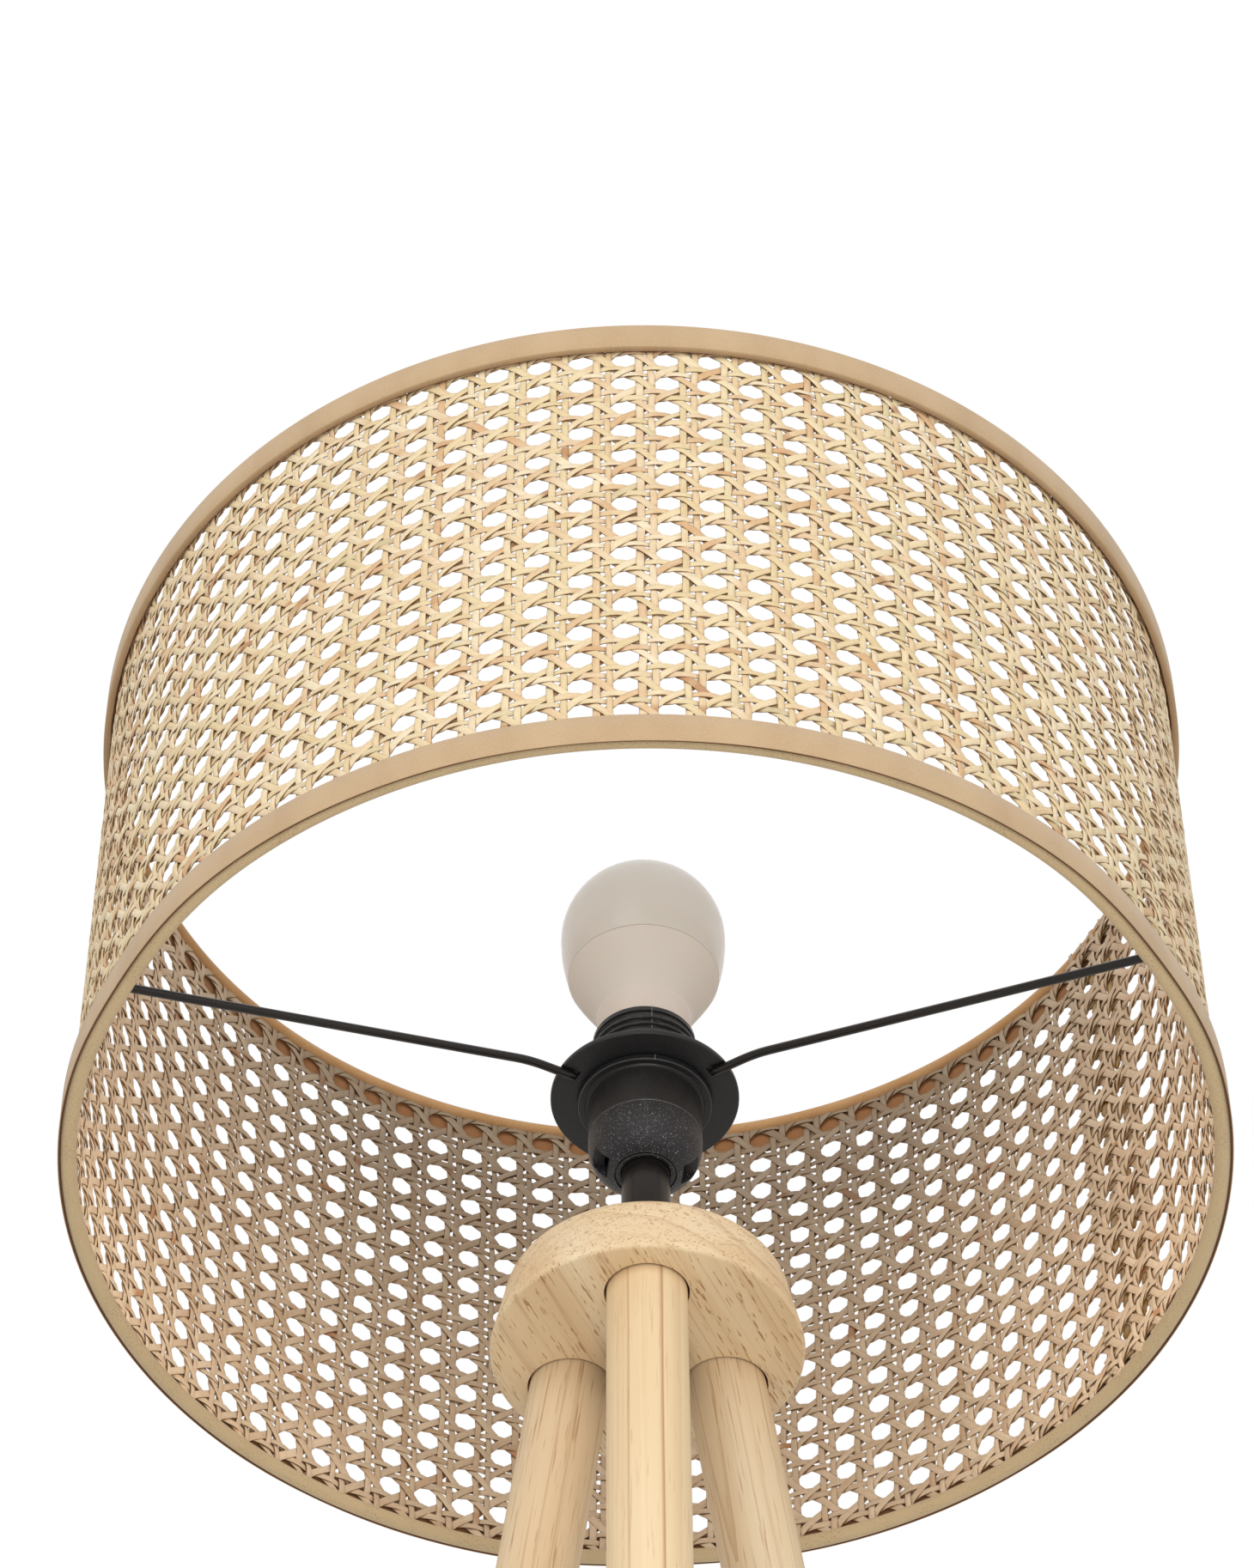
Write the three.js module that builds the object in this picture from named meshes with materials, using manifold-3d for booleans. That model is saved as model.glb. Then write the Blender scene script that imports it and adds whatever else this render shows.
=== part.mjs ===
// Floor lamp on three turned wooden legs, with a drum shade of cane webbing.
// Millimetres, +Z up. Each piece is built round the stem's axis, with its height counted from the
// floor. At the end the lamp is moved sideways, so that the origin lies on the floor in the middle
// of its box.
import * as THREE from 'three';
import { mergeVertices } from 'three/addons/utils/BufferGeometryUtils.js';
import Module from 'manifold-3d';

const wasm = await Module();
wasm.setup();

// Play and tools
const seatGap = 0.3; // play where one piece rests on, or sits in, another
const cutOverrun = 1; // how far a cutting tool runs past the face that it cuts

// Shade: a band of webbing round two wrapped wire rings, with tape round each rim. Rows of narrow
// openings stand for the webbing's fine holes, and leave about as much of it open.
const shadeRadius = 210; // outside of the tape
const shadeHeight = 234;
const rimHeight = 1300; // floor to the lower edge of the shade
const tapeThickness = 0.4;
const topTapeWidth = 13;
const bottomTapeWidth = 16;
const webbingThickness = 1.2;
const webbingInset = 0.5; // webbing's edges inside the tape's
const openingColumns = 48;
const openingRows = 2;
const openingWidth = 12;
const openingMargin = 4; // tape's edge to the nearest row of openings
const openingBar = 14; // between one row and the next
const lapWidth = 32; // where the two ends of the webbing overlap
const lapDirection = degrees(30); // from +X
const lapBond = 0.2; // how deep the overlapping end lies in the layer behind it
const ringRoll = 5.4; // a wire ring with its wrapping, across
const ringInset = 0.3; // wrapped ring's lowest line above the tape's edge

// Shade fitter: three wire arms under a round plate
const armDiameter = 3.3;
const armDirections = { right: degrees(-31.5), back: degrees(88.5), left: degrees(208.5) };
const armStartRadius = 28.5; // where an arm starts under the plate
const armBendRadius = 47; // where it turns down
const armBendReach = 5; // from where the bend starts to its corner
const armGrooveDepth = 0.9;
const fitterHeight = 43.3; // shade's lower edge to the underside of the plate
const fitterDiameter = 68.8;
const fitterThickness = 2.4;
const fitterEdge = 0.6;

// Locking ring that clamps the plate
const lockRingDiameter = 53;
const lockRingHeight = 6.5;
const lockRingRibs = 24;
const lockRingRibDepth = 0.8;

// Lampholder, from its threaded barrel down to its cap
const barrelDiameter = 38.6;
const barrelLength = 31; // collar to mouth
const barrelBore = 33.4;
const mouthChamfer = 1.2;
const collarDiameter = 49;
const collarHeight = 2.6;
const bodyDiameter = 41.4;
const bodyLength = 16.8;
const bodyBore = 37;
const capRimHeight = 3.2; // straight part of the cap above its dome
const capDomeHeight = 14.2;
const capCrownRadius = 9; // middle of the dome's curve, from the axis
const capNeckDiameter = 23;
const capWall = 2;
const capFloor = 5;
const capRecess = 2.8; // how far the stem goes into the cap
const capSlotWidth = 7;
const capSlotHeight = 9;
const capSlotRise = 3.4; // cap's lower edge to the slots
const capSlotInner = 13; // inner end of a slot, from the axis
const capSlotDirections = [degrees(-30), degrees(90), degrees(210)];

// Live parts inside the holder
const insertFoot = 12; // insulating block from its step down to the terminals
const sleeveRecess = 3; // holder's mouth down to the insulating sleeve
const shellBore = 27.2;
const shellWall = 0.5;
const shellLength = 26;
const leafWidth = 4.5;
const leafThickness = 0.5;
const leafRise = 2.2;
const leafFootStart = 9; // outer end of the contact leaf, from the axis
const leafFootEnd = 4.5;
const leafTipHalf = 2.4;
const terminalSpacing = 17;
const terminalHeadDiameter = 5;
const terminalHeadHeight = 1.8;
const terminalShankDiameter = 2.8;
const terminalShankLength = 7;

// Stem and hub
const stemDiameter = 17.6;
const stemBore = 14.6;
const pipeDiameter = 9.8; // threaded pipe through the stem and the hub
const pipeBore = 7.4;
const pipeTopReach = 2; // pipe's end above the cap's floor
const pipeTail = 1; // pipe's end below the nut
const hubDrop = 81.8; // shade's lower edge to the hub's underside
const hubDiameter = 109.2; // at its underside
const hubShoulderDiameter = 100.4; // where the round top edge starts
const hubThickness = 30;
const hubTopRound = 8;
const hubRimRound = 1;
const nutDiameter = 28;
const nutHeight = 5;
const nutRibs = 16;
const nutRibDepth = 0.7;
const bushDiameter = 14;
const bushHeight = 3;
const bushBore = 5.2;
const bushTail = 6; // how far the bush goes up into the pipe

// Legs
const legDirections = { front: degrees(-90), right: degrees(30), left: degrees(150) };
const legDiameter = 27.8;
const legSplay = degrees(9.3);
const socketRadius = 31.3; // leg's axis from the stem's, at the hub's underside
const socketDepth = 14;
const studDiameter = 8;
const studInHub = 10;
const studInLeg = 26;
const sleeveNutDiameter = 11; // threaded sleeve in the leg's end
const sleeveNutLength = 20;
const padDiameter = 22;
const padThickness = 4;
const padEdge = 1;
const padPinDiameter = 4;
const padPinLength = 12;

// Bulb
const globeDiameter = 61.8;
const globeRise = 129.2; // shade's lower edge to the middle of the globe
const globeStretchShare = 1.66; // how much taller the globe's lower half is than it is wide
const partingDrop = 21; // globe's middle down to its joint with the housing
const neckDiameter = 35;
const neckRise = 74.6; // shade's lower edge to the housing's lower end
const neckChamfer = 1.2;
const neckRun = 10.5; // straight part of the neck
const flareShares = [[0.1, 0.22], [0.35, 0.4]]; // guides of the flare above it, across and up
const bulbWall = 1.6;
const spigotLength = 6; // housing's lower end inside the screw cap
const spigotBore = 18;
const boardDrop = 3; // globe's joint down to the light board
const boardThickness = 1.6;
const screwCapDiameter = 26.2;
const screwCapLength = 22.5;
const screwCapWall = 1;
const screwCapEdge = 1.5;
const insulatorHeight = 3.4;
const insulatorTopDiameter = 23.4;
const insulatorBottomDiameter = 13;
const tipDiameter = 9.5;
const tipHeight = 1.6;
const tipEdge = 0.8;

// Facets
const roundSides = 28;
const smallSides = 16;
const ringSides = 8;
const armSides = 6;
const armSteps = 16;
const arcSteps = 3;
const domeSteps = 5;

const shadeSides = openingColumns; // each side holds one column of openings

// Heights that several pieces share
const shadeTop = rimHeight + shadeHeight;
const fitterUnderside = rimHeight + fitterHeight;
const collarTop = fitterUnderside - seatGap;
const collarUnderside = collarTop - collarHeight;
const holderMouth = collarTop + barrelLength;
const bodyLower = collarUnderside - bodyLength;
const capUpper = bodyLower - seatGap;
const capLower = capUpper - capRimHeight - capDomeHeight;
const capFloorLower = capLower + capRecess + seatGap;
const capFloorUpper = capFloorLower + capFloor;
const hubUnderside = rimHeight - hubDrop;
const hubTop = hubUnderside + hubThickness;
const nutLower = hubUnderside - seatGap - nutHeight;
const pipeLower = nutLower - pipeTail;
const globeCentre = rimHeight + globeRise;
const partingHeight = globeCentre - partingDrop;
const screwCapUpper = rimHeight + neckRise;
const screwCapLower = screwCapUpper - screwCapLength;
const insulatorLower = screwCapLower - seatGap - insulatorHeight;
const tipLower = insulatorLower - seatGap - tipHeight;
const leafLower = tipLower - seatGap - leafThickness - leafRise;
const insertTop = leafLower - seatGap;

// Radii and lengths that several pieces share
const webbingRadius = shadeRadius - tapeThickness - seatGap;
const ringRadius = webbingRadius - webbingThickness - seatGap - ringRoll / 2;
const ringRise = ringInset + ringRoll / 2;
const barrelSeatRadius = barrelDiameter / 2 + seatGap;
const pipeSeatRadius = pipeDiameter / 2 + seatGap;
const armAxisHeight = fitterUnderside + armGrooveDepth - seatGap - armDiameter / 2;
const legEnd = padThickness + seatGap; // height of a leg's lower end
const legLength = (hubUnderside - legEnd) / Math.cos(legSplay); // along its axis, below the hub
const footRadius = socketRadius + legLength * Math.sin(legSplay);
const partingRadius = globeRadiusAt(partingDrop);

const finishes = {
  cane: { color: 0xe6cda2, roughness: 0.55, metalness: 0 },
  tape: { color: 0xd7b995, roughness: 0.8, metalness: 0 },
  blackSteel: { color: 0x26262a, roughness: 0.45, metalness: 0.3 },
  blackPlastic: { color: 0x232327, roughness: 0.5, metalness: 0 },
  steel: { color: 0xb4b6b8, roughness: 0.35, metalness: 1 },
  brass: { color: 0xb9924a, roughness: 0.35, metalness: 1 },
  insulator: { color: 0xe9e6df, roughness: 0.4, metalness: 0 },
  wood: { color: 0xe0c397, roughness: 0.5, metalness: 0 },
  pad: { color: 0x8a7a66, roughness: 0.9, metalness: 0 },
  opal: { color: 0xefe9e2, roughness: 0.25, metalness: 0 },
  housing: { color: 0xe9e2da, roughness: 0.4, metalness: 0 },
};

function degrees(value) {
  return (value * Math.PI) / 180;
}

// Half the globe's width, a given drop below its middle.
function globeRadiusAt(drop) {
  const along = drop / ((globeDiameter / 2) * globeStretchShare);
  return (globeDiameter / 2) * Math.sqrt(1 - along * along);
}

function point(radius, height) {
  return new THREE.Vector2(radius, height);
}

// Points of an elliptical arc in a profile, first and last included.
function arc(centre, width, height, from, to, steps) {
  const points = [];
  for (let i = 0; i <= steps; i += 1) {
    const angle = from + ((to - from) * i) / steps;
    points.push(point(centre.x + width * Math.cos(angle), centre.y + height * Math.sin(angle)));
  }
  return points;
}

// Turned piece whose profile starts and ends on the axis, its outside running upwards.
function turned(profile, sides = roundSides) {
  return new THREE.LatheGeometry(profile, sides).rotateX(degrees(90));
}

// Turned piece whose profile closes on itself, its outside running upwards.
function turnedRing(profile, sides = roundSides) {
  return turned([...profile, profile[0].clone()], sides);
}

function tube(inner, outer, lower, upper, sides = roundSides) {
  return turnedRing(
    [point(inner, lower), point(outer, lower), point(outer, upper), point(inner, upper)],
    sides,
  );
}

function rod(radius, lower, upper, sides = smallSides) {
  return turned([point(0, lower), point(radius, lower), point(radius, upper), point(0, upper)], sides);
}

function prism(shape, height) {
  return new THREE.ExtrudeGeometry(shape, { depth: height, bevelEnabled: false, curveSegments: 1 });
}

function circle(radius, sides) {
  const points = [];
  for (let i = 0; i < sides; i += 1) {
    const angle = (2 * Math.PI * i) / sides;
    points.push(point(radius * Math.cos(angle), radius * Math.sin(angle)));
  }
  return points;
}

// Round nut with a grip of square ribs, standing on z = 0.
function ribbedNut({ radius, ribDepth, ribs, bore, height }) {
  const outline = circle(radius, 4 * ribs).map((station, i) => {
    const inValley = i % 4 > 1;
    return inValley ? station.multiplyScalar(1 - ribDepth / radius) : station;
  });
  const shape = new THREE.Shape(outline);
  shape.holes.push(new THREE.Path(circle(bore, roundSides)));
  return prism(shape, height);
}

function toSolid(geometry) {
  const bare = geometry.clone();
  bare.deleteAttribute('normal');
  bare.deleteAttribute('uv');
  const merged = mergeVertices(bare);
  const corners = merged.index.array;
  const triangles = [];
  for (let i = 0; i < corners.length; i += 3) {
    const [a, b, c] = corners.slice(i, i + 3);
    if (a !== b && b !== c && c !== a) triangles.push(a, b, c);
  }
  const mesh = new wasm.Mesh({
    numProp: 3,
    vertProperties: new Float32Array(merged.attributes.position.array),
    triVerts: new Uint32Array(triangles),
  });
  return new wasm.Manifold(mesh);
}

function toGeometry(solid) {
  const mesh = solid.getMesh();
  const geometry = new THREE.BufferGeometry();
  geometry.setAttribute('position', new THREE.BufferAttribute(mesh.vertProperties, 3));
  geometry.setIndex(new THREE.BufferAttribute(mesh.triVerts, 1));
  geometry.computeVertexNormals();
  return geometry;
}

function cut(geometry, tools) {
  let solid = toSolid(geometry);
  for (const tool of tools) solid = solid.subtract(toSolid(tool));
  return toGeometry(solid);
}

function join(geometry, others) {
  let solid = toSolid(geometry);
  for (const other of others) solid = solid.add(toSolid(other));
  return toGeometry(solid);
}

function place(group, name, geometry, look) {
  const mesh = new THREE.Mesh(geometry, new THREE.MeshStandardMaterial(finishes[look]));
  mesh.name = name;
  group.add(mesh);
  return mesh;
}

// Group that turns its pieces round the stem's axis.
function spoke(direction) {
  const group = new THREE.Group();
  group.rotation.z = direction;
  return group;
}

// Cutting tools for the openings, one through the middle of each side in each row.
function webbingOpenings() {
  const lowest = rimHeight + bottomTapeWidth + openingMargin;
  const highest = shadeTop - topTapeWidth - openingMargin;
  const height = (highest - lowest - (openingRows - 1) * openingBar) / openingRows;
  const depth = 2 * (webbingThickness + cutOverrun);
  const tools = [];
  for (let row = 0; row < openingRows; row += 1) {
    const middle = lowest + row * (height + openingBar) + height / 2;
    for (let column = 0; column < openingColumns; column += 1) {
      const tool = new THREE.BoxGeometry(depth, openingWidth, height);
      tool.translate(webbingRadius - webbingThickness / 2, 0, middle);
      tools.push(tool.rotateZ((degrees(360) * (column + 0.5)) / openingColumns));
    }
  }
  return tools;
}

// Band of webbing, with one end lapped inside the other between the two rings.
function caneWebbing() {
  const wallInner = webbingRadius - webbingThickness;
  const [lower, upper] = [rimHeight + webbingInset, shadeTop - webbingInset];
  const wall = cut(tube(wallInner, webbingRadius, lower, upper, shadeSides), webbingOpenings());
  const lapEdge = ringInset + ringRoll + seatGap;
  const lapInner = wallInner - webbingThickness + lapBond;
  const halfAngle = lapWidth / 2 / wallInner;
  const strip = [];
  for (const [radius, sign] of [[lapInner, 1], [wallInner + lapBond, -1]]) {
    for (let i = 0; i <= arcSteps; i += 1) {
      const angle = lapDirection + sign * halfAngle * ((2 * i) / arcSteps - 1);
      strip.push(point(radius * Math.cos(angle), radius * Math.sin(angle)));
    }
  }
  const lap = prism(new THREE.Shape(strip.reverse()), shadeHeight - 2 * lapEdge);
  lap.translate(0, 0, rimHeight + lapEdge);
  return join(wall, [lap]);
}

function trimTape(lower, width) {
  return tube(shadeRadius - tapeThickness, shadeRadius, lower, lower + width, shadeSides);
}

// Wire ring in its wrapping, round in section.
function wireRing(height) {
  const section = arc(point(ringRadius, height), ringRoll / 2, ringRoll / 2, 0, 2 * Math.PI, ringSides);
  return turned(section, shadeSides);
}

// Wire arm in the X-Z plane: level under the plate, then sloping down to the lower ring.
function spiderArm() {
  const ring = new THREE.Vector3(ringRadius, 0, rimHeight + ringRise);
  const start = new THREE.Vector3(armStartRadius, 0, armAxisHeight);
  const corner = new THREE.Vector3(armBendRadius, 0, armAxisHeight);
  const slope = ring.clone().sub(corner).normalize();
  const end = ring.clone().addScaledVector(slope, -(ringRoll / 2 + seatGap));
  const bendStart = corner.clone().setX(armBendRadius - armBendReach);
  const bendEnd = corner.clone().addScaledVector(slope, armBendReach);
  const route = new THREE.CurvePath();
  route.add(new THREE.LineCurve3(start, bendStart));
  route.add(new THREE.QuadraticBezierCurve3(bendStart, corner, bendEnd));
  route.add(new THREE.LineCurve3(bendEnd, end));
  return new THREE.ExtrudeGeometry(new THREE.Shape(circle(armDiameter / 2, armSides)), {
    steps: armSteps,
    bevelEnabled: false,
    extrudePath: route,
  });
}

// Round plate on the holder's collar, with a groove under it for the start of each arm.
function fitterPlate() {
  const radius = fitterDiameter / 2;
  const upper = fitterUnderside + fitterThickness;
  const plate = turnedRing([
    point(barrelSeatRadius, fitterUnderside),
    point(radius - fitterEdge, fitterUnderside),
    point(radius, fitterUnderside + fitterEdge),
    point(radius, upper - fitterEdge),
    point(radius - fitterEdge, upper),
    point(barrelSeatRadius, upper),
  ]);
  const grooves = Object.values(armDirections).map((direction) => {
    const groove = rod(armDiameter / 2 + seatGap, armStartRadius - seatGap, radius + cutOverrun);
    return groove.rotateY(degrees(90)).translate(0, 0, armAxisHeight).rotateZ(direction);
  });
  return cut(plate, grooves);
}

function lockingRing() {
  return ribbedNut({
    radius: lockRingDiameter / 2,
    ribDepth: lockRingRibDepth,
    ribs: lockRingRibs,
    bore: barrelSeatRadius,
    height: lockRingHeight,
  }).translate(0, 0, fitterUnderside + fitterThickness + seatGap);
}

// Barrel, collar and body of the holder in one shell, stepped inside to hold the insert.
function holderShell() {
  const barrel = barrelDiameter / 2;
  return turnedRing([
    point(bodyBore / 2, bodyLower),
    point(bodyDiameter / 2, bodyLower),
    point(bodyDiameter / 2, collarUnderside),
    point(collarDiameter / 2, collarUnderside),
    point(collarDiameter / 2, collarTop),
    point(barrel, collarTop),
    point(barrel, holderMouth - mouthChamfer),
    point(barrel - mouthChamfer, holderMouth),
    point(barrelBore / 2, holderMouth),
    point(barrelBore / 2, collarUnderside),
    point(bodyBore / 2, collarUnderside),
  ]);
}

// Domed cap with a threaded floor for the pipe, a recess for the stem and slots round its side.
function holderCap() {
  const crown = point(capCrownRadius, capLower + capDomeHeight);
  const domeWidth = bodyDiameter / 2 - capCrownRadius;
  const neckAngle = -Math.acos((capNeckDiameter / 2 - capCrownRadius) / domeWidth);
  const floorAngle = -Math.asin((crown.y - capFloorUpper) / (capDomeHeight - capWall));
  const stemSeat = stemDiameter / 2 + seatGap;
  const cap = turnedRing([
    point(pipeSeatRadius, capFloorLower),
    point(stemSeat, capFloorLower),
    point(stemSeat, capLower),
    point(capNeckDiameter / 2, capLower),
    ...arc(crown, domeWidth, capDomeHeight, neckAngle, 0, domeSteps),
    point(bodyDiameter / 2, capUpper),
    point(bodyDiameter / 2 - capWall, capUpper),
    ...arc(crown, domeWidth - capWall, capDomeHeight - capWall, 0, floorAngle, arcSteps),
    point(pipeSeatRadius, capFloorUpper),
  ]);
  const slotReach = bodyDiameter / 2 + cutOverrun - capSlotInner;
  const slots = capSlotDirections.map((direction) => {
    const slot = new THREE.BoxGeometry(slotReach, capSlotWidth, capSlotHeight);
    const middle = capLower + capSlotRise + capSlotHeight / 2;
    return slot.translate(capSlotInner + slotReach / 2, 0, middle).rotateZ(direction);
  });
  return cut(cap, slots);
}

// Insulating block below the screw shell, its sleeve round the shell, and holes for the terminals.
function holderInsert() {
  const step = collarUnderside - seatGap;
  const wide = bodyBore / 2 - seatGap;
  const narrow = barrelBore / 2 - seatGap;
  const sleeveInner = shellBore / 2 + shellWall + seatGap;
  const foot = step - insertFoot;
  const sleeveTop = holderMouth - sleeveRecess;
  const block = turned([
    point(0, foot),
    point(wide, foot),
    point(wide, step),
    point(narrow, step),
    point(narrow, sleeveTop),
    point(sleeveInner, sleeveTop),
    point(sleeveInner, insertTop),
    point(0, insertTop),
  ]);
  const holes = [1, -1].map((side) => {
    const depth = foot + terminalShankLength + seatGap;
    const hole = rod(terminalShankDiameter / 2 + seatGap, foot - cutOverrun, depth);
    return hole.translate((side * terminalSpacing) / 2, 0, 0);
  });
  return cut(block, holes);
}

function terminalScrew() {
  const foot = collarUnderside - seatGap - insertFoot;
  const headTop = foot - seatGap;
  const headLower = headTop - terminalHeadHeight;
  return turned(
    [
      point(0, headLower),
      point(terminalHeadDiameter / 2, headLower),
      point(terminalHeadDiameter / 2, headTop),
      point(terminalShankDiameter / 2, headTop),
      point(terminalShankDiameter / 2, foot + terminalShankLength),
      point(0, foot + terminalShankLength),
    ],
    smallSides,
  );
}

function screwShell() {
  const inner = shellBore / 2;
  const lower = insertTop + seatGap;
  return tube(inner, inner + shellWall, lower, lower + shellLength, roundSides);
}

// Bent strip that presses on the bulb's tip.
function contactLeaf() {
  const line = [
    point(-leafFootStart, 0),
    point(-leafFootEnd, 0),
    point(-leafTipHalf, leafRise),
    point(leafTipHalf, leafRise),
  ];
  const upper = line.map((p) => point(p.x, p.y + leafThickness)).reverse();
  const leaf = prism(new THREE.Shape([...line, ...upper]), leafWidth);
  return leaf.translate(0, 0, -leafWidth / 2).rotateX(degrees(90)).translate(0, 0, leafLower);
}

function stemTube() {
  return tube(stemBore / 2, stemDiameter / 2, hubTop + seatGap, capLower + capRecess, roundSides);
}

function threadedPipe() {
  return tube(pipeBore / 2, pipeDiameter / 2, pipeLower, capFloorUpper + pipeTopReach, smallSides);
}

// Turned disc, wider at its underside, with a slanting socket for each leg and a hole for its stud.
function hub() {
  const rim = hubDiameter / 2;
  const shoulder = hubShoulderDiameter / 2;
  const bore = pipeDiameter / 2 + seatGap;
  const roundCentre = point(shoulder - hubTopRound, hubTop - hubTopRound);
  const disc = turnedRing([
    point(bore, hubUnderside),
    point(rim - hubRimRound, hubUnderside),
    point(rim, hubUnderside + hubRimRound),
    ...arc(roundCentre, hubTopRound, hubTopRound, 0, degrees(90), arcSteps),
    point(bore, hubTop),
  ]);
  const tools = [];
  for (const direction of Object.values(legDirections)) {
    const socket = rod(legDiameter / 2 + seatGap, -legDiameter, socketDepth, roundSides);
    const studHole = rod(studDiameter / 2 + seatGap, socketDepth - cutOverrun, socketDepth + studInHub);
    for (const tool of [socket, studHole]) {
      tools.push(
        tool.rotateY(-legSplay).translate(socketRadius, 0, hubUnderside).rotateZ(direction),
      );
    }
  }
  return cut(disc, tools);
}

function hubNut() {
  return ribbedNut({
    radius: nutDiameter / 2,
    ribDepth: nutRibDepth,
    ribs: nutRibs,
    bore: pipeSeatRadius,
    height: nutHeight,
  }).translate(0, 0, nutLower);
}

// Bush that lines the pipe's lower end, where the supply cable leaves.
function outletBush() {
  const bore = bushBore / 2;
  const tail = pipeBore / 2 - seatGap;
  const flangeTop = pipeLower - seatGap;
  const flangeLower = flangeTop - bushHeight;
  return turnedRing(
    [
      point(bore, flangeLower),
      point(bushDiameter / 2 - bushHeight / 2, flangeLower),
      point(bushDiameter / 2, flangeTop - bushHeight / 2),
      point(bushDiameter / 2, flangeTop),
      point(tail, flangeTop),
      point(tail, flangeTop + bushTail),
      point(bore, flangeTop + bushTail),
    ],
    smallSides,
  );
}

// Leg along its own axis, z = 0 at the hub's underside: bored for its stud, level at its lower end.
function leg() {
  const top = socketDepth - seatGap;
  const round = rod(legDiameter / 2, -(legLength + legDiameter), top, roundSides);
  const studHole = rod(studDiameter / 2 + seatGap, top - studInLeg - seatGap, top + cutOverrun);
  const sleeveHole = rod(
    sleeveNutDiameter / 2 + seatGap,
    top - sleeveNutLength - seatGap,
    top + cutOverrun,
  );
  const floor = new THREE.BoxGeometry(4 * legDiameter, 4 * legDiameter, 4 * legDiameter);
  floor.translate(0, 0, -2 * legDiameter);
  const pinHole = rod(padPinDiameter / 2 + seatGap, -cutOverrun, padPinLength);
  const levelTools = [floor, pinHole].map((tool) => tool.rotateY(legSplay).translate(0, 0, -legLength));
  return cut(round, [studHole, sleeveHole, ...levelTools]);
}

function legStud() {
  const top = socketDepth - seatGap;
  return rod(studDiameter / 2, top - studInLeg, socketDepth + studInHub - seatGap);
}

function legSleeveNut() {
  const top = socketDepth - seatGap;
  return tube(
    studDiameter / 2 + seatGap,
    sleeveNutDiameter / 2,
    top - sleeveNutLength,
    top,
    smallSides,
  );
}

// Glide on the floor under a leg, with a pin up into it.
function footPad() {
  const radius = padDiameter / 2;
  const pin = padPinDiameter / 2;
  const pinTop = padThickness + padPinLength;
  return turned(
    [
      point(0, 0),
      point(radius - padEdge, 0),
      point(radius, padEdge),
      point(radius, padThickness),
      point(pin, padThickness),
      point(pin, pinTop),
      point(0, pinTop),
    ],
    smallSides,
  );
}

// Opal shell, round above its middle and drawn down to the housing below it.
function bulbGlobe() {
  const centre = point(0, globeCentre);
  const outer = globeDiameter / 2;
  const inner = outer - bulbWall;
  const tall = outer * globeStretchShare;
  const jointAngle = -Math.asin(partingDrop / tall);
  const jointWidth = partingRadius - bulbWall;
  const innerJointAngle = -Math.acos(jointWidth / inner);
  const innerTall = partingDrop / Math.sin(-innerJointAngle);
  return turned([
    ...arc(centre, inner, inner, degrees(90), 0, domeSteps),
    ...arc(centre, inner, innerTall, 0, innerJointAngle, arcSteps).slice(1),
    ...arc(centre, outer, tall, jointAngle, 0, arcSteps),
    ...arc(centre, outer, outer, 0, degrees(90), domeSteps).slice(1),
  ]);
}

// Housing between globe and screw cap: a flared shell on a spigot that fills the cap's upper end.
function bulbHousing() {
  const neck = neckDiameter / 2;
  const lower = screwCapUpper + seatGap;
  const joint = partingHeight - seatGap;
  const neckTop = lower + neckChamfer + neckRun;
  const spigot = screwCapDiameter / 2 - screwCapWall - seatGap;
  const guides = flareShares.map(([across, up]) =>
    point(neck + across * (partingRadius - neck), neckTop + up * (joint - neckTop)),
  );
  const flare = new THREE.CubicBezierCurve(
    point(neck, neckTop),
    ...guides,
    point(partingRadius, joint),
  ).getPoints(arcSteps);
  const inside = flare.map((p) => point(p.x - bulbWall, p.y)).reverse();
  return turnedRing([
    point(spigotBore / 2, lower - spigotLength),
    point(spigot, lower - spigotLength),
    point(spigot, lower),
    point(neck - neckChamfer, lower),
    point(neck, lower + neckChamfer),
    ...flare,
    ...inside,
    point(spigotBore / 2, neckTop),
  ]);
}

function lightBoard() {
  const upper = partingHeight - seatGap - boardDrop;
  return rod(boardRadius(), upper - boardThickness, upper, roundSides);
}

// Board's radius: what the flared housing leaves free at the board's lower face.
function boardRadius() {
  const neck = neckDiameter / 2;
  const flareHeight = partingHeight - screwCapUpper;
  const share = 1 - (boardDrop + boardThickness + seatGap) / flareHeight;
  return neck + (partingRadius - neck) * share * share - bulbWall - seatGap;
}

// Screw cap: a thin shell, drawn in at its lower end. Its thread isn't drawn.
function screwCap() {
  const radius = screwCapDiameter / 2;
  return turnedRing(
    [
      point(radius - screwCapEdge, screwCapLower),
      point(radius, screwCapLower + screwCapEdge),
      point(radius, screwCapUpper),
      point(radius - screwCapWall, screwCapUpper),
      point(radius - screwCapWall, screwCapLower + screwCapEdge),
      point(radius - screwCapEdge - screwCapWall, screwCapLower),
    ],
    roundSides,
  );
}

function capInsulator() {
  const upper = insulatorLower + insulatorHeight;
  return turned(
    [
      point(0, insulatorLower),
      point(insulatorBottomDiameter / 2, insulatorLower),
      point(insulatorTopDiameter / 2, upper),
      point(0, upper),
    ],
    smallSides,
  );
}

function tipContact() {
  const radius = tipDiameter / 2;
  return turned(
    [
      point(0, tipLower),
      point(radius - tipEdge, tipLower),
      point(radius, tipLower + tipEdge),
      point(radius, tipLower + tipHeight),
      point(0, tipLower + tipHeight),
    ],
    smallSides,
  );
}

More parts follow.
